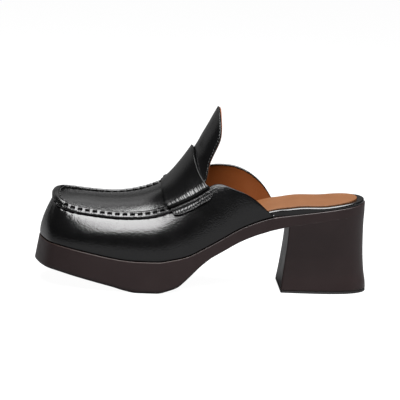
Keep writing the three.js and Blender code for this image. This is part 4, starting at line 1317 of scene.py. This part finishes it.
def makeHeel(name, low, high, coating, inset):  # a slice of the heel, between two shares of its height
    look = heel
    centre = (outline(-breastRib)[1] + outline(breastRib)[1]) / 2
    breast = steadyCurve(heelRows["height"], heelRows["breastAt"] * shoe["length"])
    back = steadyCurve(heelRows["height"], heelRows["backAt"] * shoe["length"])
    wide = steadyCurve(heelRows["height"], heelRows["wide"])
    cornerReach = 1.2  # ribs that turn the breast's corner
    corner = breastRib + cornerReach * np.linspace(0, 1, 16) ** 1.5
    ribs = np.concatenate([corner, np.linspace(breastRib + cornerReach, backRib, 90)[1:]])
    loop = np.concatenate([-ribs, ribs[-2::-1]])
    rim = outline(loop)
    share = np.clip((rim[:, 0] - breast(1)) / (outlineX(backRib) - breast(1)), 0, 1)
    settle = rim[:, 0] - mix(breast(1), back(1), share)  # so that the top follows the platform above it
    levels = mix(low, high, np.concatenate([[0, 0.004], np.linspace(0.02, 0.98, 56), [0.996, 0.9996, 1]]))
    sides = []
    for k, level in enumerate(levels):
        atEdge = k == 0 or (k == len(levels) - 1 and high < 1)
        pull = inset + look["edgeRound"] * atEdge
        width = mix(look["footWidth"], shoe["heelSeatWidth"], wide(level)) - 2 * pull
        x = mix(breast(level) + pull, back(level) - pull, share)
        x = x + settle * level
        fromBreast = x - breast(level) - pull
        tuck = rounded(fromBreast, look["cornerRound"])
        y = centre + (rim[:, 1] - centre) * (width / shoe["heelSeatWidth"])
        y = y - np.sign(y - centre) * tuck
        inner = np.clip((y - centre) / look["footWidth"] + 0.5, 0, 1)
        x = x - look["skew"] * (1 - level) ** 1.5 * (1 - share) ** 2 * inner
        sides.append(vec(x, y, level * (soleBottom(x) - look["seatGap"])))
    sides = np.array(sides)
    width = np.linspace(0, 1, 12)[None, 1:, None]
    front = mix(sides[:, -1:], sides[:, :1], width)
    ring = np.concatenate([sides, front], axis=1)
    half = sides.shape[1] // 2 + 1
    across = np.linspace(0, 1, 14)[None, :, None]
    caps = []
    for k in (0, -1):
        left, right = sides[k, :half][:, None], sides[k, ::-1][:half][:, None]
        cap = mix(left, right, across)
        caps.append(cap if k == 0 else cap[:, ::-1])
    edge = np.zeros(ring.shape[:2])
    edge[[0, 1]] = 0.3
    grids = [{"point": ring, "run": runsOf(ring), "edge": edge}]
    grids += [{"point": cap, "run": runsOf(cap)} for cap in caps]
    return skinPiece(name, grids, coating)


heelMiddle = 0.375 * shoe["length"]
liftShare = float(heel["liftHeight"] / soleBottom(heelMiddle))
place(makeHeel("heel_block", liftShare + heel["liftGap"], 1, solePaint, 0), "sole", "heel")
place(makeHeel("heel_top_piece", 0, liftShare, rubber, 0.15), "sole")
print("heel ready")

# Floor, light and camera

studio = {
    "floorReach": 8.0,
    "floorColour": (0.115, 0.115, 0.117),
    "floorGlow": 0.97,  # what the camera sees on top of the lit floor, so that it reads as white paper
    "surround": 0.04,
    "seenSurround": 1.0,
    "softboxes": [  # name, place, aim, width, height, radiance
        ("overhead", (0.2, -0.48, 1.15), (0.2, -0.48, 0.05), 1.24, 1.7, 13.5),
        ("lowBackPanel", (0, 1.4, 0.17), (0, 0, 0.08), 1.6, 0.3, 0.15),
        ("backTopPanel", (0, 0.8, 1.05), (0, 0, 0.08), 0.9, 0.45, 1.1),
        ("backPanel", (0, 1.2, 0.75), (0, 0, 0.08), 1.0, 0.45, 0.4),
        ("backLeftPanel", (-1.0, 1.1, 0.66), (-0.05, 0, 0.08), 1.2, 0.6, 0.22),
        ("rightPanel", (1.3, -0.1, 0.35), (0.1, 0, 0.05), 0.12, 0.7, 1.6),
    ],
}
viewpoint = {
    "target": (-0.0031, 0, 0.0631),
    "distance": 1.5,
    "azimuth": -2.5,
    "elevation": 9.5,
    "roll": 2.7,
    "sensor": 36,
    "lens": 180.2,
}


def makeFloor():
    material = bpy.data.materials.new("pale_floor")
    material.use_nodes = True
    tree = material.node_tree
    shader = tree.nodes["Principled BSDF"]
    shader.inputs["Base Color"].default_value = (*studio["floorColour"], 1)
    shader.inputs["Roughness"].default_value = 0.9
    shader.inputs["Specular IOR Level"].default_value = 0.1
    shader.inputs["Emission Color"].default_value = (1, 1, 1, 1)
    seen = addNode(tree, "LightPath")
    glow = maths(tree, "MULTIPLY", seen.outputs["Is Camera Ray"], studio["floorGlow"])
    tree.links.new(glow, shader.inputs["Emission Strength"])
    line = np.linspace(-1, 1, 17) * studio["floorReach"]
    x, y = np.meshgrid(line, line, indexing="ij")
    mesh = bpy.data.meshes.new("studio_floor")
    mesh.from_pydata(vec(x, y, 0).reshape(-1, 3).tolist(), [], gridQuads(x.shape, 0).tolist())
    linkPiece("studio_floor", mesh, [material])


def makeLights():
    for name, where, aim, width, height, radiance in studio["softboxes"]:
        light = bpy.data.lights.new(name, "AREA")
        light.shape = "RECTANGLE"
        light.size, light.size_y = width, height
        light.energy = radiance * math.pi * width * height
        lamp = bpy.data.objects.new(name, light)
        bpy.context.scene.collection.objects.link(lamp)
        lamp.location = where
        lamp.visible_camera = False
        lamp.rotation_euler = (Vector(aim) - Vector(where)).to_track_quat("-Z", "Y").to_euler()
    world = bpy.data.worlds.new("studio_world")
    bpy.context.scene.world = world
    world.use_nodes = True
    tree = world.node_tree
    path = addNode(tree, "LightPath")
    level = addNode(tree, "MapRange")
    level.inputs["To Min"].default_value = studio["surround"]
    level.inputs["To Max"].default_value = studio["seenSurround"]
    tree.links.new(path.outputs["Is Camera Ray"], level.inputs["Value"])
    tree.links.new(level.outputs[0], tree.nodes["Background"].inputs["Strength"])
    tree.nodes["Background"].inputs["Color"].default_value = (1, 1, 1, 1)


def makeCamera():
    azimuth, elevation, roll = (math.radians(viewpoint[key]) for key in ("azimuth", "elevation", "roll"))
    level = math.cos(elevation)
    back = Vector((math.sin(azimuth) * level, -math.cos(azimuth) * level, math.sin(elevation)))
    right = (-back).cross(Vector((0, 0, 1))).normalized()
    upward = right.cross(-back)
    tiltedRight = right * math.cos(roll) + upward * math.sin(roll)
    tiltedUp = upward * math.cos(roll) - right * math.sin(roll)
    data = bpy.data.cameras.new("camera")
    data.sensor_width, data.lens = viewpoint["sensor"], viewpoint["lens"]
    camera = bpy.data.objects.new("camera", data)
    bpy.context.scene.collection.objects.link(camera)
    turn = Matrix((tiltedRight, tiltedUp, back)).transposed().to_4x4()
    where = Vector(viewpoint["target"]) + back * viewpoint["distance"]
    camera.matrix_world = Matrix.Translation(where) @ turn
    bpy.context.scene.camera = camera


makeFloor()
makeLights()
makeCamera()
bpy.context.scene.view_settings.view_transform = "Standard"
print("studio ready")
